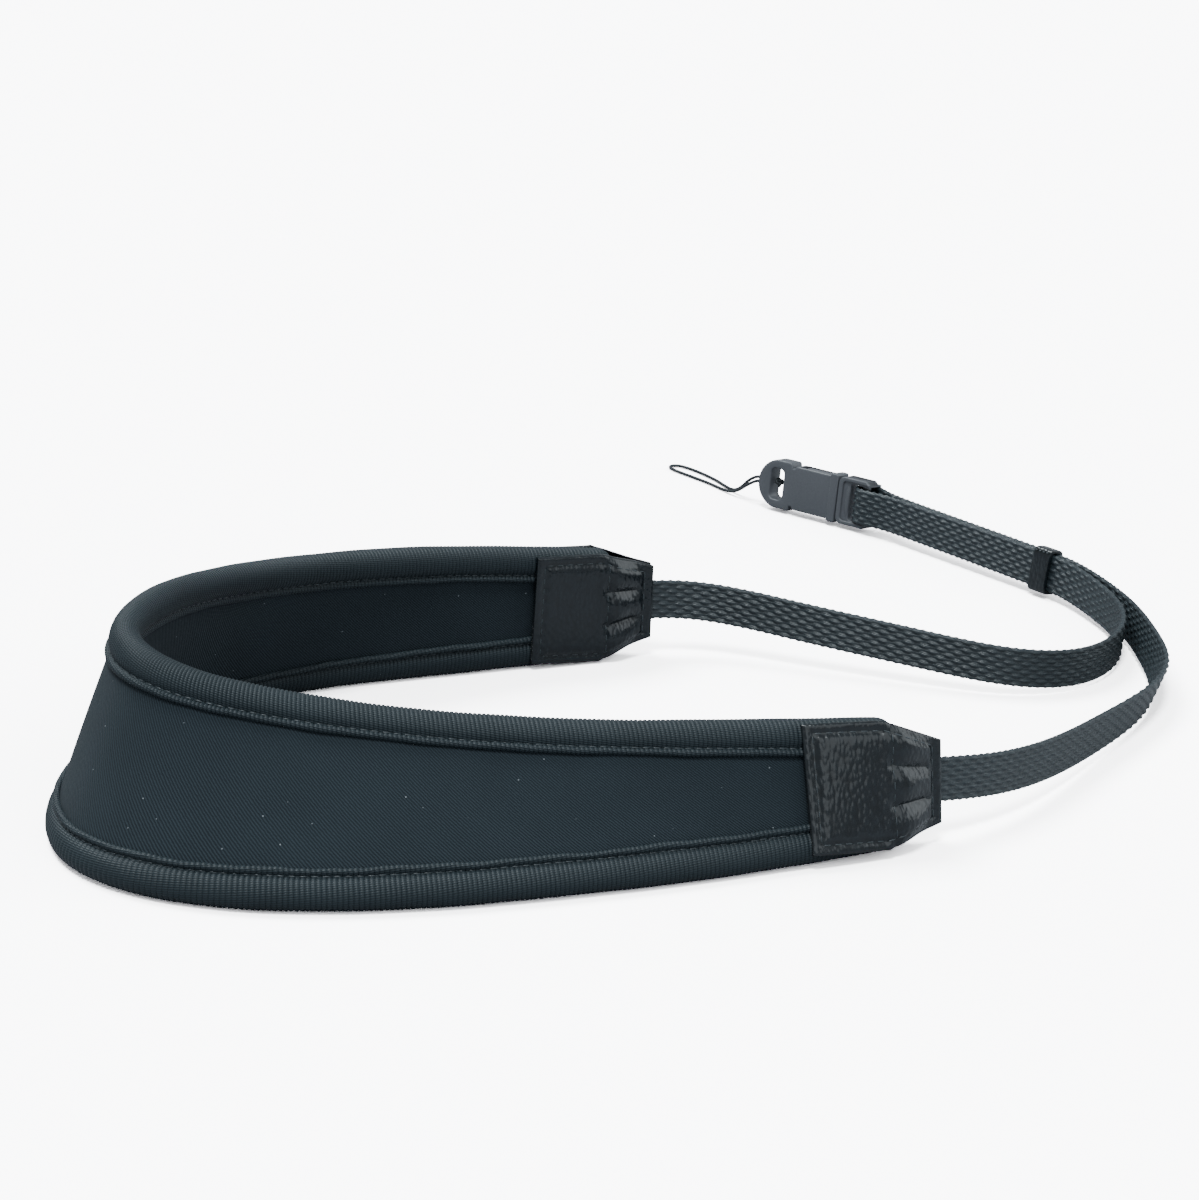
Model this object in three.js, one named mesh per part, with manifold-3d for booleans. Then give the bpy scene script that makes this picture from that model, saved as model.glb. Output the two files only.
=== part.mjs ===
// A camera neck strap standing on its lower edges: a padded neck band with two
// leather end tabs, one long webbing, a keeper, a side-release buckle and a
// thin cord loop. Millimetres, +Z up, origin under the middle of the strap.
import * as THREE from 'three';
import Module from 'manifold-3d';
import { mergeVertices } from 'three/addons/utils/BufferGeometryUtils.js';

const wasm = await Module();
wasm.setup();

// ---------------------------------------------------------------- dimensions

const GAP = 0.3; // clearance between pieces that touch on the real strap
const FOOTPRINT = { x: -3.72, y: -6.67, z: -0.27 }; // middle of the strap's base in the route's plan

// The strap is a closed loop. Its middle line runs from the near tab along the
// front of the pad, round the bend, back to the far tab, out along the webbing,
// round the buckle's bar and home again. Each row steers a smooth curve:
// x and y in plan, rise is the middle line's height, and lean is how far the
// upper edge tips towards the inside of the loop, in degrees.
const PAD_ROWS = [
  { x: 51, y: -112.5, rise: 15.0, lean: 10 },
  { x: 26, y: -121.5, rise: 14.6, lean: 25 },
  { x: -7.5, y: -133, rise: 15.1, lean: 36 },
  { x: -48.5, y: -145, rise: 16.9, lean: 39.5 },
  { x: -86, y: -150, rise: 19.5, lean: 37 },
  { x: -114, y: -143, rise: 21.9, lean: 27 },
  { x: -124.5, y: -122, rise: 23.1, lean: 18 },
  { x: -122, y: -97, rise: 23.0, lean: 18.5 },
  { x: -116, y: -71, rise: 21.5, lean: 23 },
  { x: -102, y: -45, rise: 19.5, lean: 24 },
  { x: -74, y: -24, rise: 18.0, lean: 14 },
  { x: -40, y: -7, rise: 16.1, lean: 4 },
  { x: -16, y: 5, rise: 14.0, lean: 2 },
];
const INNER_ROWS = [
  { x: 2, y: 12.5, rise: 14.2, lean: 0 },
  { x: 18, y: 10, rise: 13.2, lean: -2 },
  { x: 36, y: 2.5, rise: 11.6, lean: -3.5 },
  { x: 62, y: -6, rise: 9.4, lean: -2 },
  { x: 85, y: -13, rise: 7.0, lean: 2 },
  { x: 103.5, y: -7, rise: 5.5, lean: 5 },
  { x: 115, y: 10, rise: 5.3, lean: 3 },
  { x: 119, y: 29.5, rise: 5.4, lean: 3 },
  { x: 115, y: 46, rise: 6.0, lean: 8 },
];
const OUTER_ROWS = [
  { x: 116.5, y: 50, rise: 6.0, lean: -9 },
  { x: 121.5, y: 34, rise: 5.4, lean: -10.5 },
  { x: 123, y: 13.5, rise: 5.4, lean: -17 },
  { x: 123.5, y: -8, rise: 5.5, lean: -22.5 },
  { x: 116.5, y: -29.5, rise: 5.5, lean: -16.5 },
  { x: 102, y: -53, rise: 6.2, lean: -4 },
  { x: 87.5, y: -78.5, rise: 8.4, lean: -1 },
  { x: 71.5, y: -99, rise: 11.4, lean: 2 },
];

// From the keeper to the buckle the two webbings run back to back. Along is
// measured from the keeper, aside from the line between the two webbings.
const STACK = { x: 105.5, y: 68.5, heading: 129.9, bar: 73.5 };
const STACK_ROWS = [
  { along: -6, aside: 0.95, rise: 6.6, lean: 10 },
  { along: 3, aside: 0.85, rise: 6.8, lean: 10 },
  { along: 16, aside: 0.85, rise: 7.0, lean: 10 },
  { along: 32, aside: 0.85, rise: 7.2, lean: 9 },
  { along: 48, aside: 0.85, rise: 7.4, lean: 8 },
  { along: 62, aside: 0.95, rise: 7.6, lean: 7 },
  { along: 67.5, aside: 1.9, rise: 7.6, lean: 6 },
  { along: 71.5, aside: 3.3, rise: 7.6, lean: 5 },
  { along: 76.2, aside: 3.1, rise: 7.6, lean: 5 },
];

// Neck pad: half widths every HALF_STEP from the pad's middle towards its ends.
const PAD = { nearSeam: 5.5, farSeam: 369, overrun: 4, steps: 60 };
const HALF_STEP = 30.3;
const HALF_WIDTHS = [24.1, 24.0, 22.7, 20.3, 18.1, 16.2, 14.2, 12.4, 10.6];
const PANEL = { half: 2.0, gripped: 1.3, gripInset: 2.3, gripEnd: 7.4, fullInset: 8.2 };
const BINDING = { half: 2.7, mouth: 2.0, slot: 1.6, floor: 2.0, shoulder: 1.6, turn: 6.0, leg: 7.0 };
const NOMINAL_HALF = 20; // the pad's sections are drawn at this half width

const TAB = {
  field: 18, taper: 15, half: 14.0, endHalf: 9.3, leather: 1.2,
  over: 3.0, end: 0.9, dropFrom: 4.5, dropTo: 12, puff: 1.3, steps: 13,
};
const TAB_RIBS = 3;

const WEBBING = { half: 5, thick: 1.2, intoTab: 5.5, step: 4, foldStep: 0.9, fold: 15 };

const KEEPER = { at: 3.5, rise: 6.75, lean: 10, length: 6, half: 6.1, deep: 2.8, holeHalf: 5.35, holeDeep: 1.85 };

const BUCKLE = { heading: 141.2, lean: 6, rise: 7.6 };
const PLUG = {
  rear: -2.6, front: 8.2, half: 7.0, corner: 1.6, deep: 2.6, barRadius: 1.15,
  windowHalf: 5.4, windowFront: 4.2, prongDeep: 1.1, prongEnd: 20.5,
};
const SOCKET = {
  rear: 8.5, collar: 11.2, body: 23.4, wing: 24.6, end: 36.2, half: 7.0, bodyHalf: 6.4,
  neckHalf: 5.6, wingHalf: 7.1, deep: 2.6, sideFrom: 13.4, sideTo: 22.2, cavityEnd: 22.4,
};
const SLOT = { from: 27.4, to: 31.9, half: 4.5 };
const CORD_HOLE = 1.3;

const CORD = { radius: 0.45, sides: 8, steps: 60 };
const KNOT = { at: 29.7, radius: 1.25, tube: 0.8 };

// ------------------------------------------------------------------- the route

const rad = THREE.MathUtils.degToRad;

function stackPoint(along, aside) {
  const heading = rad(STACK.heading);
  return {
    x: STACK.x + Math.cos(heading) * along - Math.sin(heading) * aside,
    y: STACK.y + Math.sin(heading) * along + Math.cos(heading) * aside,
  };
}

function stackRows() {
  const inner = STACK_ROWS.map(({ along, aside, rise, lean }) => ({
    ...stackPoint(along, aside), rise, lean,
  }));
  const outer = [...STACK_ROWS].reverse().map(({ along, aside, rise, lean }) => ({
    ...stackPoint(along, -aside), rise, lean: -lean,
  }));
  return [...inner, ...outer];
}

// Uniform cubic B-spline weight of four neighbouring values at fraction f.
function spline(a, b, c, d, f) {
  const g = 1 - f;
  return (
    g ** 3 * a + (3 * f ** 3 - 6 * f ** 2 + 4) * b + (-3 * f ** 3 + 3 * f ** 2 + 3 * f + 1) * c + f ** 3 * d
  ) / 6;
}

class Route {
  constructor(rows, samplesPerRow) {
    this.samples = [];
    for (let i = 0; i < rows.length * samplesPerRow; i += 1) {
      const row = Math.floor(i / samplesPerRow);
      const f = i / samplesPerRow - row;
      const near = [-1, 0, 1, 2].map((k) => rows[(row + k + rows.length) % rows.length]);
      const value = (key) => spline(...near.map((r) => r[key]), f);
      this.samples.push({ x: value('x'), y: value('y'), rise: value('rise'), lean: value('lean') });
    }
    this.samples.push({ ...this.samples[0] });
    this.along = [0];
    for (let i = 1; i < this.samples.length; i += 1) {
      const a = this.samples[i - 1];
      const b = this.samples[i];
      this.along.push(this.along[i - 1] + Math.hypot(b.x - a.x, b.y - a.y));
    }
    this.length = this.along[this.along.length - 1];
  }

  // Point and directions at distance s along the loop: up runs across the strap
  // to its upper edge, out points away from the inside of the loop.
  at(s) {
    const wrapped = ((s % this.length) + this.length) % this.length;
    let low = 0;
    let high = this.along.length - 1;
    while (high - low > 1) {
      const middle = (low + high) >> 1;
      if (this.along[middle] <= wrapped) low = middle;
      else high = middle;
    }
    const f = (wrapped - this.along[low]) / (this.along[high] - this.along[low]);
    const a = this.samples[low];
    const b = this.samples[high];
    const mix = (key) => THREE.MathUtils.lerp(a[key], b[key], f);
    const count = this.samples.length - 1;
    const before = this.samples[(low - 1 + count) % count];
    const after = this.samples[(high + 1) % count];
    const dirX = THREE.MathUtils.lerp(b.x - before.x, after.x - a.x, f);
    const dirY = THREE.MathUtils.lerp(b.y - before.y, after.y - a.y, f);
    const size = Math.hypot(dirX, dirY);
    const inward = new THREE.Vector3(dirY / size, -dirX / size, 0);
    const lean = rad(mix('lean'));
    const centre = new THREE.Vector3(mix('x') - FOOTPRINT.x, mix('y') - FOOTPRINT.y, mix('rise') - FOOTPRINT.z);
    const up = inward.clone().multiplyScalar(Math.sin(lean)).setZ(Math.cos(lean));
    const out = inward.clone().multiplyScalar(-Math.cos(lean)).setZ(Math.sin(lean));
    return { centre, up, out };
  }

  place(s, across, proud) {
    const { centre, up, out } = this.at(s);
    return centre.addScaledVector(up, across).addScaledVector(out, proud);
  }
}

const route = new Route([...PAD_ROWS, ...INNER_ROWS, ...stackRows(), ...OUTER_ROWS], 40);

// Extrudes a section (x proud, y across) through the stations and bends it
// along the route. Shift moves a point before it is placed.
function wrap(section, stations, shift) {
  const last = stations.length - 1;
  const geometry = new THREE.ExtrudeGeometry(section, { depth: last, steps: last, bevelEnabled: false });
  const position = geometry.getAttribute('position');
  for (let i = 0; i < position.count; i += 1) {
    const s = stations[Math.round(position.getZ(i))];
    const [across, proud] = shift(s, position.getY(i), position.getX(i));
    const point = route.place(s, across, proud);
    position.setXYZ(i, point.x, point.y, point.z);
  }
  geometry.computeVertexNormals();
  return geometry;
}

function evenStations(from, to, steps) {
  return Array.from({ length: steps + 1 }, (_, i) => THREE.MathUtils.lerp(from, to, i / steps));
}

function outline(points) {
  return new THREE.Shape(points.map(([x, y]) => new THREE.Vector2(x, y)));
}

// ------------------------------------------------------------------- neck pad

function padHalf(s) {
  const middle = (PAD.nearSeam + PAD.farSeam) / 2;
  const place = Math.abs(s - middle) / HALF_STEP;
  const row = Math.floor(place);
  const half = (k) => HALF_WIDTHS[Math.min(Math.abs(k), HALF_WIDTHS.length - 1)];
  return spline(half(row - 1), half(row), half(row + 1), half(row + 2), place - row);
}

const padStations = evenStations(PAD.nearSeam - PAD.overrun, PAD.farSeam + PAD.overrun, PAD.steps);

// Moves a section drawn at the nominal half width to the pad's own edge.
function fitToEdge(s, across, proud) {
  return [across + Math.sign(across) * (padHalf(s) - NOMINAL_HALF), proud];
}

function makePanel() {
  const edge = (side) => [
    [PANEL.half, side * (NOMINAL_HALF - PANEL.fullInset)],
    [PANEL.gripped, side * (NOMINAL_HALF - PANEL.gripEnd)],
    [PANEL.gripped, side * (NOMINAL_HALF - PANEL.gripInset)],
    [-PANEL.gripped, side * (NOMINAL_HALF - PANEL.gripInset)],
    [-PANEL.gripped, side * (NOMINAL_HALF - PANEL.gripEnd)],
    [-PANEL.half, side * (NOMINAL_HALF - PANEL.fullInset)],
  ];
  return wrap(outline([...edge(1), ...edge(-1).reverse()]), padStations, fitToEdge);
}

// A folded binding: a rounded channel that grips the panel's edge.
function makeBinding(side) {
  const outer = [
    [BINDING.mouth, BINDING.leg],
    [BINDING.half, BINDING.turn],
    [BINDING.half, BINDING.shoulder],
    [BINDING.half * 0.5, 0],
  ];
  const mirrored = outer.map(([proud, inset]) => [-proud, inset]).reverse();
  const slot = [
    [-BINDING.slot, BINDING.leg],
    [-BINDING.slot, BINDING.floor],
    [BINDING.slot, BINDING.floor],
    [BINDING.slot, BINDING.leg],
  ];
  const points = [...outer, ...mirrored, ...slot].map(([proud, inset]) => [proud, side * (NOMINAL_HALF - inset)]);
  return wrap(outline(points), padStations, fitToEdge);
}

// ------------------------------------------------------------------- end tabs

// Past is the distance from the seam towards the webbing, negative over the pad.
function tabHalf(past) {
  return past <= 0 ? TAB.half : THREE.MathUtils.lerp(TAB.half, TAB.endHalf, past / TAB.taper);
}

function tabLift(past) {
  const f = THREE.MathUtils.clamp((past - TAB.dropFrom) / (TAB.dropTo - TAB.dropFrom), 0, 1);
  return THREE.MathUtils.lerp(TAB.over, TAB.end, f);
}

// The padded ribs swell between the seam and the tab's end.
function tabPuff(past, share) {
  if (past <= 0) return 0;
  const crown = Math.abs(Math.sin((Math.PI * TAB_RIBS * (share + 1)) / 2));
  return TAB.puff * crown * Math.sin((Math.PI * past) / TAB.taper);
}

// One leather patch of a tab. Side is +1 for the outer face, -1 for the inner
// one; seam is the seam's place and run is +1 where the webbing leaves ahead.
function makePatch(seam, run, side) {
  const cells = TAB_RIBS * 2;
  const shares = Array.from({ length: cells + 1 }, (_, i) => (2 * i) / cells - 1);
  const section = outline([[0, 1], [0, -1], ...shares.map((share) => [TAB.leather, share])]);
  const stations = evenStations(seam - run * TAB.field, seam + run * TAB.taper, TAB.steps);
  const ordered = run > 0 ? stations : stations.reverse();
  const geometry = wrap(section, ordered, (s, share, depth) => {
    const past = (s - seam) * run;
    const puff = depth > 0 ? tabPuff(past, share) : 0;
    return [share * tabHalf(past), side * (tabLift(past) + depth + puff)];
  });
  return side > 0 ? geometry : turnedInsideOut(geometry);
}

// A mirrored mesh has its faces pointing in, so each triangle is wound back.
function turnedInsideOut(geometry) {
  const position = geometry.getAttribute('position');
  const corner = new THREE.Vector3();
  const other = new THREE.Vector3();
  for (let i = 0; i < position.count; i += 3) {
    corner.fromBufferAttribute(position, i + 1);
    other.fromBufferAttribute(position, i + 2);
    position.setXYZ(i + 1, other.x, other.y, other.z);
    position.setXYZ(i + 2, corner.x, corner.y, corner.z);
  }
  geometry.computeVertexNormals();
  return geometry;
}

// ------------------------------------------------------------------- webbing

// Place along the route where it passes closest to the buckle's bar tip.
function foldPlace() {
  const tip = stackPoint(STACK_ROWS[STACK_ROWS.length - 1].along, 0);
  let best = { s: 0, distance: Infinity };
  for (let s = PAD.farSeam; s < route.length; s += 0.5) {
    const { centre } = route.at(s);
    const distance = Math.hypot(centre.x + FOOTPRINT.x - tip.x, centre.y + FOOTPRINT.y - tip.y);
    if (distance < best.distance) best = { s, distance };
  }
  return best.s;
}

function makeWebbing() {
  const from = PAD.farSeam + WEBBING.intoTab;
  const to = route.length + PAD.nearSeam - WEBBING.intoTab;
  const fold = foldPlace();
  const stretch = (a, b, step) => evenStations(a, b, Math.ceil((b - a) / step));
  const stations = [
    ...stretch(from, fold - WEBBING.fold, WEBBING.step),
    ...stretch(fold - WEBBING.fold, fold + WEBBING.fold, WEBBING.foldStep).slice(1, -1),
    ...stretch(fold + WEBBING.fold, to, WEBBING.step),
  ];
  const deep = WEBBING.thick / 2;
  const section = outline([
    [-deep, -WEBBING.half], [deep, -WEBBING.half], [deep, WEBBING.half], [-deep, WEBBING.half],
  ]);
  return wrap(section, stations, (s, across, proud) => [across, proud]);
}

// --------------------------------------------------- keeper, buckle, cord loop

// A group whose own x runs along the heading, y up the leaning strap and z
// away from its face.
function standingGroup(point, rise, heading, lean) {
  const along = new THREE.Vector3(Math.cos(rad(heading)), Math.sin(rad(heading)), 0);
  const away = new THREE.Vector3(Math.sin(rad(heading)), -Math.cos(rad(heading)), 0);
  const up = away.multiplyScalar(Math.sin(rad(lean))).setZ(Math.cos(rad(lean)));
  const face = new THREE.Vector3().crossVectors(along, up);
  const group = new THREE.Group();
  group.setRotationFromMatrix(new THREE.Matrix4().makeBasis(along, up, face));
  group.position.set(point.x - FOOTPRINT.x, point.y - FOOTPRINT.y, rise - FOOTPRINT.z);
  return group;
}

function toSolid(geometry) {
  const bare = geometry.clone();
  bare.deleteAttribute('normal');
  bare.deleteAttribute('uv');
  const merged = mergeVertices(bare, 1e-4);
  return new wasm.Manifold(new wasm.Mesh({
    numProp: 3,
    vertProperties: new Float32Array(merged.getAttribute('position').array),
    triVerts: new Uint32Array(merged.getIndex().array),
  }));
}

function toGeometry(solid) {
  const mesh = solid.getMesh();
  const geometry = new THREE.BufferGeometry();
  geometry.setAttribute('position', new THREE.BufferAttribute(new Float32Array(mesh.vertProperties), 3));
  geometry.setIndex(new THREE.BufferAttribute(new Uint32Array(mesh.triVerts), 1));
  geometry.computeVertexNormals();
  return geometry;
}

// A plate from a plan outline, centred on its own middle plane.
function plate(shape, deep) {
  const geometry = new THREE.ExtrudeGeometry(shape, { depth: 2 * deep, bevelEnabled: false, curveSegments: 6 });
  return geometry.translate(0, 0, -deep);
}

function roundedRectangle(x0, x1, half, corner) {
  const shape = new THREE.Shape();
  shape.moveTo(x0 + corner, -half);
  shape.lineTo(x1 - corner, -half).absarc(x1 - corner, corner - half, corner, -Math.PI / 2, 0);
  shape.lineTo(x1, half - corner).absarc(x1 - corner, half - corner, corner, 0, Math.PI / 2);
  shape.lineTo(x0 + corner, half).absarc(x0 + corner, half - corner, corner, Math.PI / 2, Math.PI);
  shape.lineTo(x0, corner - half).absarc(x0 + corner, corner - half, corner, Math.PI, 1.5 * Math.PI);
  return shape;
}

function box(x0, x1, y0, y1, deep) {
  return new THREE.BoxGeometry(x1 - x0, y1 - y0, 2 * deep).translate((x0 + x1) / 2, (y0 + y1) / 2, 0);
}

function makeKeeper() {
  const sleeve = roundedRectangle(-KEEPER.deep, KEEPER.deep, KEEPER.half, 0.8);
  sleeve.holes.push(roundedRectangle(-KEEPER.holeDeep, KEEPER.holeDeep, KEEPER.holeHalf, 0.2));
  const geometry = new THREE.ExtrudeGeometry(sleeve, {
    depth: KEEPER.length, bevelEnabled: false, curveSegments: 3,
  });
  return geometry.translate(0, 0, -KEEPER.length / 2).rotateY(Math.PI / 2);
}

// The plug: a frame with the webbing's bar, and a tongue and two sprung prongs
// that lie inside the socket.
function makePlug() {
  const frame = toSolid(plate(roundedRectangle(PLUG.rear, PLUG.front, PLUG.half, PLUG.corner), PLUG.deep));
  const window = toSolid(box(PLUG.rear - 1, PLUG.windowFront, -PLUG.windowHalf, PLUG.windowHalf, PLUG.deep + 1));
  const bar = toSolid(new THREE.CylinderGeometry(PLUG.barRadius, PLUG.barRadius, 2 * PLUG.windowHalf + 1, 12));
  const tongue = toSolid(box(PLUG.front - 1, PLUG.prongEnd - 3, -1.5, 1.5, PLUG.prongDeep));
  let plug = frame.subtract(window).add(bar).add(tongue);
  for (const side of [1, -1]) {
    const prong = outline([
      [PLUG.front - 1, side * 3.4], [17, side * 4.2], [PLUG.prongEnd, side * 4.6],
      [PLUG.prongEnd, side * 5.6], [18, side * 6.3], [14.6, side * 6.0], [13.8, side * 4.9],
      [PLUG.front - 1, side * 4.8],
    ]);
    plug = plug.add(toSolid(plate(prong, PLUG.prongDeep)));
  }
  return toGeometry(plug);
}

// The socket: collar, body with a window in each side, neck, and a rounded
// head with the cord's slot and the hole through its end wall.
function socketOutline() {
  const shape = new THREE.Shape();
  const turnedEnd = SOCKET.end - SOCKET.wingHalf;
  shape.moveTo(SOCKET.rear, -SOCKET.half);
  shape.lineTo(SOCKET.collar, -SOCKET.half).lineTo(SOCKET.collar + 0.8, -SOCKET.bodyHalf);
  shape.lineTo(SOCKET.body - 0.8, -SOCKET.bodyHalf).lineTo(SOCKET.body, -SOCKET.neckHalf);
  shape.lineTo(SOCKET.wing, -SOCKET.neckHalf).lineTo(SOCKET.wing, -SOCKET.wingHalf);
  shape.lineTo(turnedEnd, -SOCKET.wingHalf);
  shape.absellipse(turnedEnd, 0, SOCKET.wingHalf, SOCKET.wingHalf, -Math.PI / 2, Math.PI / 2);
  shape.lineTo(SOCKET.wing, SOCKET.wingHalf).lineTo(SOCKET.wing, SOCKET.neckHalf);
  shape.lineTo(SOCKET.body, SOCKET.neckHalf).lineTo(SOCKET.body - 0.8, SOCKET.bodyHalf);
  shape.lineTo(SOCKET.collar + 0.8, SOCKET.bodyHalf).lineTo(SOCKET.collar, SOCKET.half);
  shape.lineTo(SOCKET.rear, SOCKET.half);
  return shape;
}

function makeSocket() {
  const cavityDeep = PLUG.prongDeep + GAP;
  let socket = toSolid(plate(socketOutline(), SOCKET.deep));
  socket = socket.subtract(toSolid(box(SOCKET.rear - 1, SOCKET.cavityEnd, -5.2, 5.2, cavityDeep)));
  for (const side of [1, -1]) {
    const low = Math.min(side * 5, side * 8);
    socket = socket.subtract(toSolid(box(SOCKET.sideFrom, SOCKET.sideTo, low, low + 3, cavityDeep)));
  }
  const slot = roundedRectangle(SLOT.from, SLOT.to, SLOT.half, 1.6);
  socket = socket.subtract(toSolid(plate(slot, SOCKET.deep + 1)));
  const hole = new THREE.CylinderGeometry(CORD_HOLE, CORD_HOLE, 8, 12).rotateZ(Math.PI / 2);
  socket = socket.subtract(toSolid(hole.translate(SLOT.to + 3, 0, 0)));
  return toGeometry(socket);
}

function makeKnot() {
  return new THREE.TorusGeometry(KNOT.radius, KNOT.tube, 6, 10).rotateY(Math.PI / 2).translate(KNOT.at, 0, 0);
}

// The cord's route, both strands: out of the head's end wall, down to the
// surface, round the loop's tip and back into the wall.
const CORD_ROUTE = [
  { x: 33.2, y: 145.3, z: 8.4 }, { x: 30.8, y: 147.2, z: 8.4 }, { x: 28.2, y: 149.4, z: 7.8 },
  { x: 26.1, y: 151.8, z: 5.9 }, { x: 24.5, y: 154.3, z: 3.5 }, { x: 23.0, y: 157.1, z: 1.6 },
  { x: 21.5, y: 160.3, z: 0.7 }, { x: 19.8, y: 164.1, z: 0.5 }, { x: 17.8, y: 168.7, z: 0.5 },
  { x: 15.2, y: 173.5, z: 0.5 }, { x: 12.2, y: 178.1, z: 0.5 }, { x: 9.0, y: 182.1, z: 0.5 },
  { x: 6.5, y: 184.1, z: 0.5 }, { x: 4.5, y: 184.0, z: 0.5 }, { x: 3.7, y: 182.3, z: 0.5 },
  { x: 4.7, y: 179.7, z: 0.5 }, { x: 7.5, y: 175.9, z: 0.5 }, { x: 10.9, y: 171.7, z: 0.5 },
  { x: 14.2, y: 167.5, z: 0.5 }, { x: 17.1, y: 163.3, z: 0.5 }, { x: 19.6, y: 159.3, z: 0.6 },
  { x: 21.8, y: 155.8, z: 1.3 }, { x: 23.8, y: 152.9, z: 2.9 }, { x: 25.8, y: 150.5, z: 5.0 },
  { x: 28.2, y: 148.7, z: 6.7 }, { x: 30.8, y: 147.0, z: 7.3 }, { x: 33.2, y: 145.1, z: 7.3 },
];

function makeCord() {
  const points = CORD_ROUTE.map(({ x, y, z }) => new THREE.Vector3(x - FOOTPRINT.x, y - FOOTPRINT.y, z));
  const section = new THREE.Shape().absarc(0, 0, CORD.radius, 0, 2 * Math.PI);
  return new THREE.ExtrudeGeometry(section, {
    extrudePath: new THREE.CatmullRomCurve3(points), steps: CORD.steps, curveSegments: CORD.sides,
  });
}

// ------------------------------------------------------------------- assembly

function material(color, roughness) {
  return new THREE.MeshStandardMaterial({ color, roughness, metalness: 0 });
}

const NEOPRENE = material(0x10161a, 0.9);
const TAPE = material(0x141b20, 0.8);
const LEATHER = material(0x0e1114, 0.4);
const NYLON = material(0x151b1f, 0.6);
const PLASTIC = material(0x22272b, 0.5);
const CORD_BLACK = material(0x0c0f12, 0.6);

function named(name, geometry, finish) {
  const mesh = new THREE.Mesh(geometry, finish);
  mesh.name = name;
  return mesh;
}

const strap = new THREE.Group();
strap.add(
  named('neck_pad', makePanel(), NEOPRENE),
  named('binding_upper', makeBinding(1), TAPE),
  named('binding_lower', makeBinding(-1), TAPE),
  named('tab_near_front', makePatch(PAD.nearSeam, -1, 1), LEATHER),
  named('tab_near_back', makePatch(PAD.nearSeam, -1, -1), LEATHER),
  named('tab_far_front', makePatch(PAD.farSeam, 1, 1), LEATHER),
  named('tab_far_back', makePatch(PAD.farSeam, 1, -1), LEATHER),
  named('webbing', makeWebbing(), NYLON),
);

const keeperGroup = standingGroup(stackPoint(KEEPER.at, 0), KEEPER.rise, STACK.heading, KEEPER.lean);
keeperGroup.add(named('keeper', makeKeeper(), LEATHER));
strap.add(keeperGroup);

const buckleGroup = standingGroup(stackPoint(STACK.bar, 0), BUCKLE.rise, BUCKLE.heading, BUCKLE.lean);
buckleGroup.add(
  named('buckle_plug', makePlug(), PLASTIC),
  named('buckle_socket', makeSocket(), PLASTIC),
  named('cord_knot', makeKnot(), CORD_BLACK),
);
strap.add(buckleGroup);
strap.add(named('cord_loop', makeCord(), CORD_BLACK));

export default strap;
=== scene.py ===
import logging
import math
from dataclasses import dataclass
from enum import Enum
from typing import Sequence

import bmesh
import bpy
import numpy as np
from mathutils import Matrix, Vector


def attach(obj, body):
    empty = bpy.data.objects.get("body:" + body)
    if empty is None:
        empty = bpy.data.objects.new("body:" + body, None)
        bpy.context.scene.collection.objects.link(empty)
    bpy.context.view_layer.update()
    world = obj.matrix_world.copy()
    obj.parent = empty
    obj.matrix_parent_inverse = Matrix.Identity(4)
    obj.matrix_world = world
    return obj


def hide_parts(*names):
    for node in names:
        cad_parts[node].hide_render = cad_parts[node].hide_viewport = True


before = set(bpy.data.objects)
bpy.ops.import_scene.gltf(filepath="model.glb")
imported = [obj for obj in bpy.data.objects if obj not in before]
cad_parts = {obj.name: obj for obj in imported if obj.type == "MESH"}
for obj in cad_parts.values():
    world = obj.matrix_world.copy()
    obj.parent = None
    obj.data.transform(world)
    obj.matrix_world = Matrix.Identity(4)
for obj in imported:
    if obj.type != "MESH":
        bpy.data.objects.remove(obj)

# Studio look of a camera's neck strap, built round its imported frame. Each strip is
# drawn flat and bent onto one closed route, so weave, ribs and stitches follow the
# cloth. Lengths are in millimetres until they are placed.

LOG = logging.getLogger("neck_strap")
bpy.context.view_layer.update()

MM = 0.001
UV_PER_MM = 0.1
UV_NAME = "cloth"
WELD = 1e-7
TANGENT_STEP = 3e-4  # metres to each side over which a path's direction is taken
FOOTPRINT = np.array([-3.72, -6.67, -0.27])  # middle of the strap's base in the rows' plan
UPRIGHT = np.array([0.0, 0.0, 1.0])

Row = tuple[float, float, float, float]
Colour = tuple[float, float, float, float]
Point = tuple[float, float]

# Control rows of the route: plan x and y, height of the strap's middle, and lean
# in degrees away from upright.
PAD_ROWS: tuple[Row, ...] = (
    (51, -112.5, 15.0, 10), (26, -121.5, 14.6, 25), (-7.5, -133, 15.1, 36), (-48.5, -145, 16.9, 39.5),
    (-86, -150, 19.5, 37), (-114, -143, 21.9, 27), (-124.5, -122, 23.1, 18), (-122, -97, 23.0, 18.5),
    (-116, -71, 21.5, 23), (-102, -45, 19.5, 24), (-74, -24, 18.0, 14), (-40, -7, 16.1, 4), (-16, 5, 14.0, 2),
)
INNER_ROWS: tuple[Row, ...] = (
    (2, 12.5, 14.2, 0), (18, 10, 13.2, -2), (36, 2.5, 11.6, -3.5), (62, -6, 9.4, -2), (85, -13, 7.0, 2),
    (103.5, -7, 5.5, 5), (115, 10, 5.3, 3), (119, 29.5, 5.4, 3), (115, 46, 6.0, 8),
)
OUTER_ROWS: tuple[Row, ...] = (
    (116.5, 50, 6.0, -9), (121.5, 34, 5.4, -10.5), (123, 13.5, 5.4, -17), (123.5, -8, 5.5, -22.5),
    (116.5, -29.5, 5.5, -16.5), (102, -53, 6.2, -4), (87.5, -78.5, 8.4, -1), (71.5, -99, 11.4, 2),
)
STACK_START = (105.5, 68.5)
STACK_HEADING = 129.9
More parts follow.
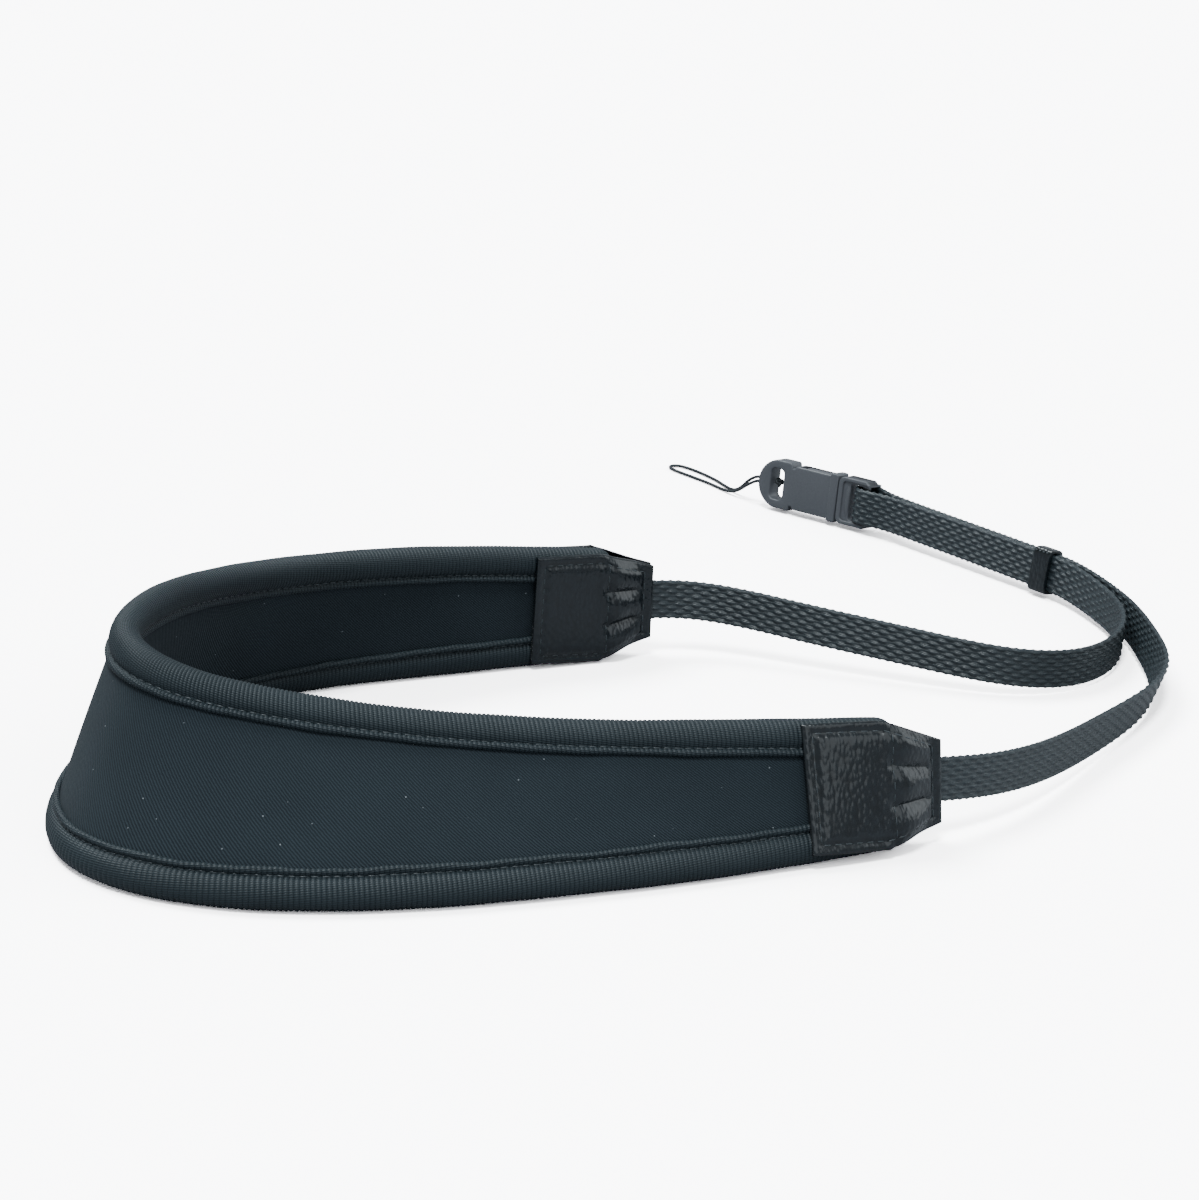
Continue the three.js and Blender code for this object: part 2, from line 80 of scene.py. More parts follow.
# Rows of the two runs that lie together: along, half the space between, height, lean.
STACK_ROWS: tuple[Row, ...] = (
    (-6, 0.95, 6.6, 10), (3, 0.85, 6.8, 10), (16, 0.85, 7.0, 10), (32, 0.85, 7.2, 9), (48, 0.85, 7.4, 8),
    (62, 0.95, 7.6, 7), (67.5, 1.9, 7.6, 6), (71.5, 3.3, 7.6, 5), (76.2, 3.1, 7.6, 5),
)
NEAR_SEAM = 5.5
FAR_SEAM = 369.0
SEAM_OVERRUN = 4.0
HALF_STEP = 30.3
# Half widths of the pad every HALF_STEP from its middle towards its ends.
HALF_WIDTHS = (24.1, 24.0, 22.7, 20.3, 18.1, 16.2, 14.2, 12.4, 10.6)
# Waves of hand sewing's unevenness: size, stretch and how far the seed shifts each.
RIPPLES = ((0.5, 7.3, 1.0), (0.3, 3.1, 2.1), (0.2, 17.9, 3.7))


class Face(Enum):
    """Which face of the strap a strip or seam lies on."""

    OUTER = 1
    INNER = -1


class Surface(Enum):
    """Kinds of fine relief that a finish can have."""

    TWILL = "twill"
    FIBRE = "fibre"
    GRAIN = "grain"
    MOULDED = "moulded"
    THREAD = "thread"


def stack_point(along: float, aside: float) -> tuple[float, float]:
    """Plan point of the stacked webbings.

    Args:
        along: distance from the stack's start towards the buckle.
        aside: distance to its left.

    Returns:
        The x and y of the point.
    """
    c = math.cos(math.radians(STACK_HEADING))
    s = math.sin(math.radians(STACK_HEADING))
    return STACK_START[0] + c * along - s * aside, STACK_START[1] + s * along + c * aside


def stack_rows() -> list[Row]:
    """Control rows of the run to the buckle and back."""
    there = [(*stack_point(a, b), rise, lean) for a, b, rise, lean in STACK_ROWS]
    back = [(*stack_point(a, -b), rise, -lean) for a, b, rise, lean in reversed(STACK_ROWS)]
    return there + back


def spline_weights(f: np.ndarray) -> tuple[np.ndarray, ...]:
    """Weights of four neighbouring rows in a cubic B-spline, which add up to 6.

    Args:
        f: places between the second and third row, from 0 to 1.

    Returns:
        The weight of each of the four rows.
    """
    return (1 - f) ** 3, 3 * f**3 - 6 * f**2 + 4, -3 * f**3 + 3 * f**2 + 3 * f + 1, f**3


class Route:
    """Closed B-spline that the strap's middle follows."""

    SAMPLES_PER_ROW = 40

    def __init__(self, rows: Sequence[Row]) -> None:
        """Samples the spline of the control rows."""
        points = np.array(rows, float)
        f = (np.arange(self.SAMPLES_PER_ROW) / self.SAMPLES_PER_ROW)[None, :, None]
        near = [np.roll(points, 1 - k, axis=0)[:, None] for k in range(4)]
        curve = sum(w * n for w, n in zip(spline_weights(f), near)) / 6
        self.samples = curve.reshape(-1, 4)
        closed = np.vstack([self.samples, self.samples[:1]])
        steps = np.hypot(*np.diff(closed[:, :2], axis=0).T)
        self.along = np.concatenate([[0.0], np.cumsum(steps)])
        self.length = float(self.along[-1])

    def frames(self, s: np.ndarray) -> tuple[np.ndarray, np.ndarray, np.ndarray]:
        """Directions of the strap at distances along it.

        Args:
            s: distances from the route's start.

        Returns:
            Centres, directions up across the strap, and directions out of the loop.
        """
        wrapped = np.mod(np.asarray(s, float), self.length)
        count = len(self.samples)
        low = np.clip(np.searchsorted(self.along, wrapped, side="right") - 1, 0, count - 1)
        f = ((wrapped - self.along[low]) / (self.along[low + 1] - self.along[low]))[:, None]
        a = self.samples[low]
        b = self.samples[(low + 1) % count]
        before = self.samples[(low - 1) % count]
        after = self.samples[(low + 2) % count]
        mixed = a + (b - a) * f
        heading = (b - before)[:, :2] * (1 - f) + (after - a)[:, :2] * f
        heading /= np.linalg.norm(heading, axis=1)[:, None]
        inward = np.stack([heading[:, 1], -heading[:, 0], np.zeros(len(heading))], axis=1)
        lean = np.radians(mixed[:, 3:4])
        up = inward * np.sin(lean) + UPRIGHT * np.cos(lean)
        out = -inward * np.cos(lean) + UPRIGHT * np.sin(lean)
        return mixed[:, :3] - FOOTPRINT, up, out

    def place(self, s: np.ndarray, across: np.ndarray, proud: np.ndarray) -> np.ndarray:
        """Points in metres for a flat pattern.

        Args:
            s: distances along the route, one for each row.
            across: heights across the strap, rows by columns.
            proud: distances out of the strap's middle, rows by columns.

        Returns:
            Points, rows by columns by 3.
        """
        centre, up, out = self.frames(s)
        flat = centre[:, None] + up[:, None] * across[..., None] + out[:, None] * proud[..., None]
        return flat * MM


ROUTE = Route([*PAD_ROWS, *INNER_ROWS, *stack_rows(), *OUTER_ROWS])


def pad_half(s: np.ndarray) -> np.ndarray:
    """Half width of the pad.

    Args:
        s: distances along the route.

    Returns:
        The half width at each, in millimetres.
    """
    place = np.abs(np.asarray(s, float) - (NEAR_SEAM + FAR_SEAM) / 2) / HALF_STEP
    row = np.floor(place).astype(int)
    table = np.array(HALF_WIDTHS)
    near = [table[np.minimum(np.abs(row + k), len(table) - 1)] for k in (-1, 0, 1, 2)]
    return sum(w * n for w, n in zip(spline_weights(place - row), near)) / 6


def ripple(s: np.ndarray, seed: float) -> np.ndarray:
    """Slow uneven wave that stands for hand sewing.

    Args:
        s: distances along the route.
        seed: shift that makes one seam differ from another.

    Returns:
        Heights between about -1 and 1.
    """
    return sum(size * np.sin(s / stretch + shift * seed) for size, stretch, shift in RIPPLES)


def grid_mesh(points: np.ndarray, girth: np.ndarray, s: np.ndarray) -> bmesh.types.BMesh:
    """Grid with its vertices moved to the given points.

    Args:
        points: rows by columns by 3, in metres.
        girth: distance round the section for each column, in millimetres.
        s: distance along the strip for each row, in millimetres.

    Returns:
        The mesh, with the flat pattern as its UV map.
    """
    rows, columns = points.shape[:2]
    bm = bmesh.new()
    layer = bm.loops.layers.uv.new(UV_NAME)
    bmesh.ops.create_grid(bm, x_segments=rows - 1, y_segments=columns - 1, size=1.0)
    places = []
    for vert in bm.verts:
        i = round((vert.co.x + 1) / 2 * (rows - 1))
        j = round((vert.co.y + 1) / 2 * (columns - 1))
        places.append((i, j))
    bm.verts.index_update()
    for vert in bm.verts:
        vert.co = points[places[vert.index]]
    for face in bm.faces:
        face.smooth = True
        for loop in face.loops:
            i, j = places[loop.vert.index]
            loop[layer].uv = (s[i] * UV_PER_MM, girth[j] * UV_PER_MM)
    return bm


def section_girth(across: np.ndarray, proud: np.ndarray) -> np.ndarray:
    """Distance round a section.

    Args:
        across: heights of its points.
        proud: distances of its points out of the strap's middle.

    Returns:
        The distance of each point from the first one.
    """
    steps = np.hypot(np.diff(across), np.diff(proud))
    return np.concatenate([[0.0], np.cumsum(steps)])


def sleeve(s: np.ndarray, across: np.ndarray, proud: np.ndarray) -> bmesh.types.BMesh:
    """Closed strip whose section's first and last columns meet, with capped ends.

    Args:
        s: distances along the route, one for each row.
        across: heights across the strap, rows by columns.
        proud: distances out of the strap's middle, rows by columns.

    Returns:
        The closed mesh.
    """
    girth = section_girth(across[len(s) // 2], proud[len(s) // 2])
    bm = grid_mesh(ROUTE.place(s, across, proud), girth, s)
    close_ends(bm)
    return bm


def close_ends(bm: bmesh.types.BMesh) -> None:
    """Welds a rolled grid's seam, caps its open ends and turns its faces outwards.

    Args:
        bm: mesh to close.
    """
    bmesh.ops.remove_doubles(bm, verts=bm.verts[:], dist=WELD)
    rims = [edge for edge in bm.edges if edge.is_boundary]
    for cap in bmesh.ops.holes_fill(bm, edges=rims, sides=0)["faces"]:
        cap.smooth = False
    bmesh.ops.recalc_face_normals(bm, faces=bm.faces[:])


# ------------------------------------------------------------------ finishes


@dataclass(frozen=True)
class Finish:
    """Colours and fine relief of one material.

    Pitch is the size of the relief in millimetres and depth its height.
    """

    name: str
    dark: Colour
    light: Colour
    surface: Surface
    pitch: float
    depth: float
    roughness: float
    specular: float = 0.5
    sheen: float = 0.0
    lint: float = 0.0


NEOPRENE = Finish(
    "neoprene", (0.004, 0.007, 0.010, 1), (0.018, 0.028, 0.035, 1),
    Surface.TWILL, 0.62, 0.12, 0.85, specular=0.2, sheen=0.02, lint=0.5,
)
BINDING = Finish(
    "binding_tape", (0.004, 0.007, 0.009, 1), (0.018, 0.028, 0.034, 1),
    Surface.FIBRE, 0.5, 0.05, 0.5, specular=0.25,
)
LEATHER = Finish(
    "leather", (0.002, 0.003, 0.004, 1), (0.007, 0.011, 0.014, 1),
    Surface.GRAIN, 0.8, 0.15, 0.24, specular=0.45,
)
NYLON = Finish(
    "nylon_webbing", (0.006, 0.009, 0.011, 1), (0.028, 0.040, 0.047, 1),
    Surface.FIBRE, 0.28, 0.05, 0.34, specular=0.45,
)
PLASTIC = Finish(
    "buckle_plastic", (0.046, 0.049, 0.056, 1), (0.074, 0.078, 0.088, 1), Surface.MOULDED, 0.45, 0.035, 0.42
)
CORD_BLACK = Finish(
    "cord", (0.004, 0.006, 0.008, 1), (0.016, 0.022, 0.027, 1), Surface.THREAD, 0.35, 0.05, 0.6
)
THREAD = Finish(
    "sewing_thread", (0.006, 0.009, 0.011, 1), (0.040, 0.052, 0.060, 1), Surface.THREAD, 0.22, 0.04, 0.4
)
LINT_WHITE: Colour = (0.30, 0.32, 0.34, 1)


def add_node(
    tree: bpy.types.NodeTree, kind: str, values: dict[str | int, float] | None = None
) -> bpy.types.Node:
    """Adds a shader node and sets some of its inputs.

    Args:
        tree: the nodes to add to.
        kind: the node's type, without its "ShaderNode".
        values: values of inputs, by name or place.

    Returns:
        The node.
    """
    node = tree.nodes.new("ShaderNode" + kind)
    for key, value in (values or {}).items():
        node.inputs[key].default_value = value
    return node


class Painter:
    """Builds each finish's material once and hands it out."""

    WAVE_PERIOD = 0.31416
    WAVE = {"Distortion": 1.6, "Detail": 2.0, "Detail Scale": 2.5}
    SLOPES = {Surface.TWILL: 38, Surface.FIBRE: 84}
    GRAIN_STRETCH = (1.0, 0.5, 1.0)
    GRAIN_SMOOTHNESS = 0.6
    NOISE_DETAIL = 2.0
    TONE = {"Scale": 70.0, "Detail": 3.0}
    TONE_SHARE = 0.3
    SPECK_SCALE = 210.0
    SPECK_SIZE = 0.035

    def __init__(self) -> None:
        """Makes the shared group and an empty set of materials."""
        self.made: dict[str, bpy.types.Material] = {}
        self.wear = self.wear_group()

    def wear_group(self) -> bpy.types.NodeTree:
        """Group that gives slow changes of tone and a mask of rare lint specks.

        Returns:
            The group.
        """
        group = bpy.data.node_groups.new("wear", "ShaderNodeTree")
        group.interface.new_socket("Vector", in_out="INPUT", socket_type="NodeSocketVector")
        for name in ("Tone", "Lint"):
            group.interface.new_socket(name, in_out="OUTPUT", socket_type="NodeSocketFloat")
        given = group.nodes.new("NodeGroupInput")
        result = group.nodes.new("NodeGroupOutput")
        slow = add_node(group, "TexNoise", self.TONE)
        spots = add_node(group, "TexVoronoi", {"Scale": self.SPECK_SCALE})
        near = add_node(group, "Math", {1: self.SPECK_SIZE})
        near.operation = "LESS_THAN"
        for texture in (slow, spots):
            group.links.new(given.outputs["Vector"], texture.inputs["Vector"])
        group.links.new(spots.outputs["Distance"], near.inputs[0])
        group.links.new(slow.outputs["Fac"], result.inputs["Tone"])
        group.links.new(near.outputs["Value"], result.inputs["Lint"])
        return group

    def relief(self, tree: bpy.types.NodeTree, finish: Finish) -> bpy.types.NodeSocket:
        """Height socket of a finish's fine relief.

        Args:
            tree: the material's nodes.
            finish: the finish being built.

        Returns:
            A socket with heights from 0 to 1.
        """
        if finish.surface in (Surface.MOULDED, Surface.THREAD):
            source = add_node(tree, "TexCoord").outputs["Object"]
            pitch = finish.pitch * MM
        else:
            pattern = add_node(tree, "UVMap")
            pattern.uv_map = UV_NAME
            source = pattern.outputs["UV"]
            pitch = finish.pitch * UV_PER_MM
        mapping = add_node(tree, "Mapping")
        tree.links.new(source, mapping.inputs["Vector"])
        if finish.surface in self.SLOPES:
            mapping.inputs["Rotation"].default_value = (0, 0, math.radians(self.SLOPES[finish.surface]))
            texture = add_node(tree, "TexWave", {"Scale": self.WAVE_PERIOD / pitch, **self.WAVE})
        elif finish.surface is Surface.GRAIN:
            mapping.inputs["Scale"].default_value = self.GRAIN_STRETCH
            texture = add_node(tree, "TexVoronoi", {"Scale": 1 / pitch})
            texture.feature = "SMOOTH_F1"
            texture.inputs["Smoothness"].default_value = self.GRAIN_SMOOTHNESS
        else:
            texture = add_node(tree, "TexNoise", {"Scale": 1 / pitch, "Detail": self.NOISE_DETAIL})
        tree.links.new(mapping.outputs["Vector"], texture.inputs["Vector"])
        if finish.surface is not Surface.GRAIN:
            return texture.outputs["Fac"]
        flip = add_node(tree, "Math", {0: 1.0})
        flip.operation = "SUBTRACT"
        tree.links.new(texture.outputs["Distance"], flip.inputs[1])
        return flip.outputs["Value"]

    def material(self, finish: Finish) -> bpy.types.Material:
        """Material of a finish, made at its first use.

        Args:
            finish: the finish to show.

        Returns:
            The material.
        """
        if finish.name in self.made:
            return self.made[finish.name]
        material = bpy.data.materials.new(finish.name)
        material.use_nodes = True
        tree = material.node_tree
        shader = tree.nodes["Principled BSDF"]
        shader.inputs["Roughness"].default_value = finish.roughness
        shader.inputs["Specular IOR Level"].default_value = finish.specular
        shader.inputs["Sheen Weight"].default_value = finish.sheen
        height = self.relief(tree, finish)
        tone = self.mix(tree, height, finish.dark, finish.light)
        wear = add_node(tree, "Group")
        wear.node_tree = self.wear
        tree.links.new(add_node(tree, "TexCoord").outputs["Object"], wear.inputs["Vector"])
        slow = self.mix(tree, wear.outputs["Tone"], finish.dark, finish.light)
        colour = self.mix(tree, None, tone, slow, amount=self.TONE_SHARE)
        if finish.lint:
            specks = add_node(tree, "Math", {1: finish.lint})
            specks.operation = "MULTIPLY"
            tree.links.new(wear.outputs["Lint"], specks.inputs[0])
            colour = self.mix(tree, specks.outputs["Value"], colour, LINT_WHITE)
        tree.links.new(colour, shader.inputs["Base Color"])
        bump = add_node(tree, "Bump", {"Strength": 1.0, "Distance": finish.depth * MM})
        tree.links.new(height, bump.inputs["Height"])
        tree.links.new(bump.outputs["Normal"], shader.inputs["Normal"])
        self.made[finish.name] = material
        return material

    @staticmethod
    def mix(
        tree: bpy.types.NodeTree,
        share: bpy.types.NodeSocket | None,
        first: bpy.types.NodeSocket | Colour,
        second: bpy.types.NodeSocket | Colour,
        amount: float = 0.5,
    ) -> bpy.types.NodeSocket:
        """Colour between two colours or sockets.

        Args:
            tree: the material's nodes.
            share: socket with the share of the second colour, or None for amount.
            first: first colour or socket.
            second: second colour or socket.
            amount: share of the second colour where there is no socket.

        Returns:
            The mixed colour's socket.
        """
        node = tree.nodes.new("ShaderNodeMix")
        node.data_type = "RGBA"
        if share is None:
            node.inputs["Factor"].default_value = amount
        else:
            tree.links.new(share, node.inputs["Factor"])
        colours = [s for s in node.inputs if s.type == "RGBA"]
        for socket, value in zip(colours, (first, second)):
            if isinstance(value, tuple):
                socket.default_value = value
            else:
                tree.links.new(value, socket)
        return next(s for s in node.outputs if s.type == "RGBA")


PAINTER = Painter()


def add_piece(
    name: str,
    bm: bmesh.types.BMesh,
    finish: Finish,
    replaces: Sequence[str] = (),
    sharp: float = 60.0,
) -> bpy.types.Object:
    """Turns a mesh into a named piece of the object.

    Args:
        name: the piece's name.
        bm: its mesh, which is freed.
        finish: its material.
        replaces: CAD nodes that it stands for.
        sharp: angle in degrees above which an edge is drawn sharp.

    Returns:
        The piece.
    """
    mesh = bpy.data.meshes.new(name)
    bm.to_mesh(mesh)
    bm.free()
    mesh.set_sharp_from_angle(angle=math.radians(sharp))
    mesh.materials.append(PAINTER.material(finish))
    piece = bpy.data.objects.new(name, mesh)
    bpy.context.scene.collection.objects.link(piece)
    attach(piece, "root")
    if replaces:
        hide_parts(*replaces)
    LOG.info("%s: %d faces", name, len(mesh.polygons))
    return piece


def resample(
    path: np.ndarray, outward: np.ndarray, pitch: float
) -> tuple[np.ndarray, np.ndarray, np.ndarray]:
    """Even places along a path.

    Args:
        path: points in metres.
        outward: outward directions at the points.
        pitch: distance between places, in millimetres.

    Returns:
        Places, directions along the path and outward directions.
    """
    steps = np.linalg.norm(np.diff(path, axis=0), axis=1)
    run = np.concatenate([[0.0], np.cumsum(steps)])
    count = max(1, int(run[-1] / (pitch * MM)))
    at = (np.arange(count) + 0.5) * run[-1] / count
    before, here, after = (
        np.stack([np.interp(at + shift, run, path[:, k]) for k in range(3)], axis=1)
        for shift in (-TANGENT_STEP, 0, TANGENT_STEP)
    )
    along = after - before
    along /= np.linalg.norm(along, axis=1)[:, None]
    out = np.stack([np.interp(at, run, outward[:, k]) for k in range(3)], axis=1)
    out -= along * np.sum(out * along, axis=1)[:, None]
    out /= np.linalg.norm(out, axis=1)[:, None]
    return here, along, out


@dataclass
class Stitching:
    """Rows of separate stitches that are gathered into one piece."""

    name: str
    slot: str
    pitch: float = 2.3
    length: float = 1.65
    width: float = 0.42
    height: float = 0.36
    segments: int = 8
    rings: int = 5

    def __post_init__(self) -> None:
        """Starts with no stitches."""
        self.bm = bmesh.new()

    def row(self, path: np.ndarray, outward: np.ndarray) -> None:
        """Adds one row of stitches.

        Args:
            path: points that it follows, in metres.
            outward: direction out of the cloth at each point.
        """
        places, along, out = resample(path, outward, self.pitch)
        for centre, line, rise in zip(places, along, out):
            side = np.cross(rise, line)
            columns = (side * self.width, rise * self.height, line * self.length)
            rows = [[*(float(c[k]) * MM for c in columns), float(centre[k])] for k in range(3)]
            bmesh.ops.create_uvsphere(
                self.bm, u_segments=self.segments, v_segments=self.rings, radius=0.5,
                matrix=Matrix([*rows, [0, 0, 0, 1]]),
            )

    def build(self) -> bpy.types.Object:
        """Makes the piece from the rows."""
        for face in self.bm.faces:
            face.smooth = True
        bmesh.ops.recalc_face_normals(self.bm, faces=self.bm.faces[:])
        return add_piece(self.name, self.bm, THREAD)


# ------------------------------------------------------------------ neck pad


@dataclass
class NeckPad:
    """Neoprene pad with a folded tape and a stitched bead along both edges."""

    panel_proud: float = 1.6
    panel_inset: float = 2.4
    panel_step: float = 1.2
    crown: float = 0.35
    ruffle: float = 0.12
    rib_pitch: float = 1.0
    rib_depth: float = 0.24
    samples_per_rib: int = 4
    columns: int = 26
    # Half of the tape's section, from its mouth to the edge: proud and inset.
    tape_section: tuple[tuple[float, float], ...] = (
        (1.6, 8.0), (2.2, 8.05), (2.75, 7.8), (2.95, 7.4), (2.8, 7.0), (2.35, 6.75),
        (2.05, 6.45), (2.15, 6.1), (2.6, 5.6), (2.95, 4.8), (3.05, 3.8), (2.95, 2.6),
        (2.6, 1.5), (1.9, 0.6), (1.0, 0.1), (0.0, 0.0),
    )
    slot_floor: tuple[float, float] = (1.5, 2.0)
    corner: float = 3.2
    end_flat: float = 0.3
    groove_inset: float = 6.4
    groove_proud: float = 2.2
    tape_puff: float = 0.10
    bead_from: float = 6.0
    bead_run: float = 1.5
    sway_upper: float = 0.12
    sway_lower: float = 0.28
    sway_squeeze: float = 1.7
    stitch_sway: float = 0.3
    stitch_step: float = 0.5

    def build(self) -> None:
        """Builds the panel, both tapes and their stitches."""
        self.build_panel()
        self.build_tape("tape_upper", 1, "binding_upper")
        self.build_tape("tape_lower", -1, "binding_lower")
        self.build_stitches()

    def build_panel(self) -> None:
        """Builds the soft panel, crowned a little between the tapes."""
        s = np.arange(NEAR_SEAM - SEAM_OVERRUN, FAR_SEAM + SEAM_OVERRUN, self.panel_step)
        share = np.sin(np.linspace(-1, 1, self.columns) * math.pi / 2)
        half = (pad_half(s) - self.panel_inset)[:, None]
        rise = self.crown + ripple(s, 0.4)[:, None] * self.ruffle
        face = self.panel_proud + rise * np.cos(share * math.pi / 2) ** 0.5
        across = np.concatenate([half * share, half * share[::-1], half * share[:1]], axis=1)
        proud = np.concatenate([face, -face[:, ::-1], face[:, :1]], axis=1)
        panel = add_piece("pad_panel", sleeve(s, across, proud), NEOPRENE, ["neck_pad"])

    def sway(self, s: np.ndarray, side: int) -> np.ndarray:
        """Sideways wander of a tape's bead.

        Args:
            s: distances along the route.
            side: 1 for the upper edge and -1 for the lower one.

        Returns:
            Distances towards the pad's middle, in millimetres.
        """
        size = self.sway_lower if side < 0 else self.sway_upper
        return size * ripple(s * self.sway_squeeze, 2.0 + side)

    def build_tape(self, name: str, side: int, node: str) -> None:
        """Builds the ribbed tape of one edge.

        Args:
            name: the piece's name.
            side: 1 for the upper edge and -1 for the lower one.
            node: the CAD node that it stands for.
        """
        step = self.rib_pitch / self.samples_per_rib
        s = np.arange(NEAR_SEAM - SEAM_OVERRUN, FAR_SEAM + SEAM_OVERRUN, step)
        front = np.array(self.tape_section)
        back = front[:-1][::-1] * (-1, 1)
        inner = np.array([(-self.slot_floor[0], self.slot_floor[1]), self.slot_floor])
        section = np.concatenate([front, back, inner, front[:1]])
        ahead = np.roll(section[:-1], -1, axis=0) - np.roll(section[:-1], 1, axis=0)
        normal = np.stack([ahead[:, 1], -ahead[:, 0]], axis=1) / np.linalg.norm(ahead, axis=1)[:, None]
        if normal[len(front) - 1][1] > 0:
            normal = -normal
        ribbed = np.ones(len(section) - 1)
        ribbed[-2:] = 0
        ribbed[[0, len(front) * 2 - 2]] = 0
        rib = np.sqrt(np.abs(np.sin(s * math.pi / self.rib_pitch)))[:, None] * self.rib_depth
        puff = ripple(s, 1.3 + side)[:, None] * self.tape_puff
        lift = (rib + puff) * ribbed
        proud = section[:-1, 0] + lift * normal[:, 0]
        inset = section[:-1, 1] + lift * normal[:, 1]
        bead = np.clip((section[:-1, 1] - self.bead_from) / self.bead_run, 0, 1) * ribbed
        inset = inset + bead * self.sway(s, side)[:, None]
        proud = np.concatenate([proud, proud[:, :1]], axis=1)
        inset = np.concatenate([inset, inset[:, :1]], axis=1)
        near_end = np.clip(1 - np.minimum(s - s[0], s[-1] - s) / SEAM_OVERRUN, 0, 1)[:, None]
        proud = proud * (1 - self.end_flat * near_end)
        rounding = self.corner * (1 - np.sqrt(1 - near_end**2))
        across = side * (pad_half(s)[:, None] - inset - rounding)
        add_piece(name, sleeve(s, across, proud), BINDING, [node])

    def build_stitches(self) -> None:
        """Builds the stitches in the tapes' grooves, on both faces."""
        s = np.arange(NEAR_SEAM - 2, FAR_SEAM + 2, self.stitch_step)
        for side, name in ((1, "stitches_upper"), (-1, "stitches_lower")):
            seam = Stitching(name, "binding_tape")
            for face in Face:
                wander = self.stitch_sway * self.sway(s, side)
                across = side * (pad_half(s) - self.groove_inset - wander)
                proud = np.full(len(s), face.value * self.groove_proud)
                path = ROUTE.place(s, across[:, None], proud[:, None])[:, 0]
                seam.row(path, ROUTE.frames(s)[2] * face.value)
            seam.build()


# ------------------------------------------------------------------ end tabs


@dataclass
class EndTab:
    """Pair of leather patches sewn over one end of the pad."""

    name: str
    seam: float
    run: int
    field: float = 18.0
    taper: float = 15.0
    half: float = 14.0
    end_half: float = 9.3
    leather: float = 1.1
    over: float = 3.15
    end_lift: float = 0.95
    drop_from: float = 2.0
    drop_to: float = 11.0
    rib_end: float = 12.2
    puff: float = 1.9
    ribs: int = 3
    border: float = 2.1
    samples: float = 0.45
    columns: int = 56
    crowding: float = 0.35
    groove: float = 0.34
    groove_wide: float = 0.5
    cushion: float = 0.45
    cushion_run: float = 2.5
    wrinkle: float = 0.05
    rib_power: float = 0.7
    rib_end_power: float = 0.55
    ridge: float = 0.30
    ridge_wide: float = 0.7
    dip_at: float = 1.5
    dip_wide: float = 0.5
    rim: float = 0.3
    rim_run: float = 0.45
    stitch_samples: int = 60

    def half_at(self, past: np.ndarray) -> np.ndarray:
        """Half width of the patch.

        Args:
            past: distances past the seam, towards the webbing.

        Returns:
            The half width at each, in millimetres.
        """
        f = np.clip(past / self.taper, 0, 1)
        return self.half + (self.end_half - self.half) * f

    def height(self, past: np.ndarray, share: np.ndarray) -> np.ndarray:
        """Height of the leather's top over the strap's middle.

        Args:
            past: distance past the seam, towards the webbing.
            share: place across the patch, from -1 to 1.

        Returns:
            Heights in millimetres, of the arguments' shape.
        """
        drop = np.clip((past - self.drop_from) / (self.drop_to - self.drop_from), 0, 1)
        drop = drop * drop * (3 - 2 * drop)
        base = self.over + (self.end_lift - self.over) * drop + self.leather
        side_edge = (1 - np.abs(share)) * self.half_at(past)
        edge = np.minimum(np.minimum(side_edge, past + self.field), self.taper - past)
        sewn = -self.groove * np.exp(-(((edge - self.border) / self.groove_wide) ** 2))
        inside = np.clip((edge - self.border) / self.cushion_run, 0, 1)
        plain = np.where(past < 0, self.cushion * np.sin(inside * math.pi / 2), 0.0)
        wrinkles = self.wrinkle * np.sin(past * 5.2 + 1.5 * np.sin(share * 5)) * inside * (past < 0)
        crown = np.abs(np.sin(math.pi * self.ribs * (share + 1) / 2)) ** self.rib_power
        reach = np.sin(math.pi * np.clip(past / self.rib_end, 0, 1)) ** self.rib_end_power
        swell = self.puff * crown * reach * np.clip(side_edge / 2.0, 0, 1)
        bump = np.exp(-((past / self.ridge_wide) ** 2))
        dip = np.exp(-(((past - self.dip_at) / self.dip_wide) ** 2))
        ridge = self.ridge * (bump - dip)
        fall = 1 - np.clip(edge / self.rim_run, 0, 1)
        rim = self.rim * (1 - np.sqrt(np.clip(1 - fall**2, 0, 1)))
        return base + sewn + plain + wrinkles + swell + ridge - rim

    def surface(
        self, past: np.ndarray, share: np.ndarray, face: Face, sink: float = 0.0
    ) -> np.ndarray:
        """Points on the leather's top, or below it.

        Args:
            past: distances past the seam, the same along each row.
            share: places across the patch, from -1 to 1.
            face: the face of the strap that the patch lies on.
            sink: distance below the top, in millimetres.

        Returns:
            Points in metres, rows by columns by 3.
        """
        s = self.seam + self.run * past[:, 0]
        proud = face.value * (self.height(past, share) - sink)
        return ROUTE.place(s, share * self.half_at(past), proud)

    def build(self) -> None:
        """Builds both patches and their stitches."""
        for face in Face:
            label = "front" if face is Face.OUTER else "back"
            self.build_patch(face, label)
            self.build_stitches(face, label)

    def build_patch(self, face: Face, label: str) -> None:
        """Builds one patch as a closed skin of even thickness.

        Args:
            face: the face of the strap that it lies on.
            label: the face's word in the piece's name.
        """
        rows = int((self.field + self.taper) / self.samples)
        past = np.linspace(-self.field, self.taper, rows)
        even = np.linspace(-1, 1, self.columns)
        share = np.sin(even * math.pi / 2) * self.crowding + even * (1 - self.crowding)
        grid_past, grid_share = np.meshgrid(past, share, indexing="ij")
        top = self.surface(grid_past, grid_share, face)
        under = self.surface(grid_past, grid_share, face, sink=self.leather)
        points = np.concatenate([top, under[:, ::-1], top[:, :1]], axis=1)
        width = share * self.half
        back = width[-1] + self.leather + width[-1] - width[::-1]
        girth = np.concatenate([width, back, [4 * self.half]])
        bm = grid_mesh(points, girth, past)
        close_ends(bm)
        add_piece(f"{self.name}_{label}_leather", bm, LEATHER, [f"{self.name}_{label}"], sharp=50)

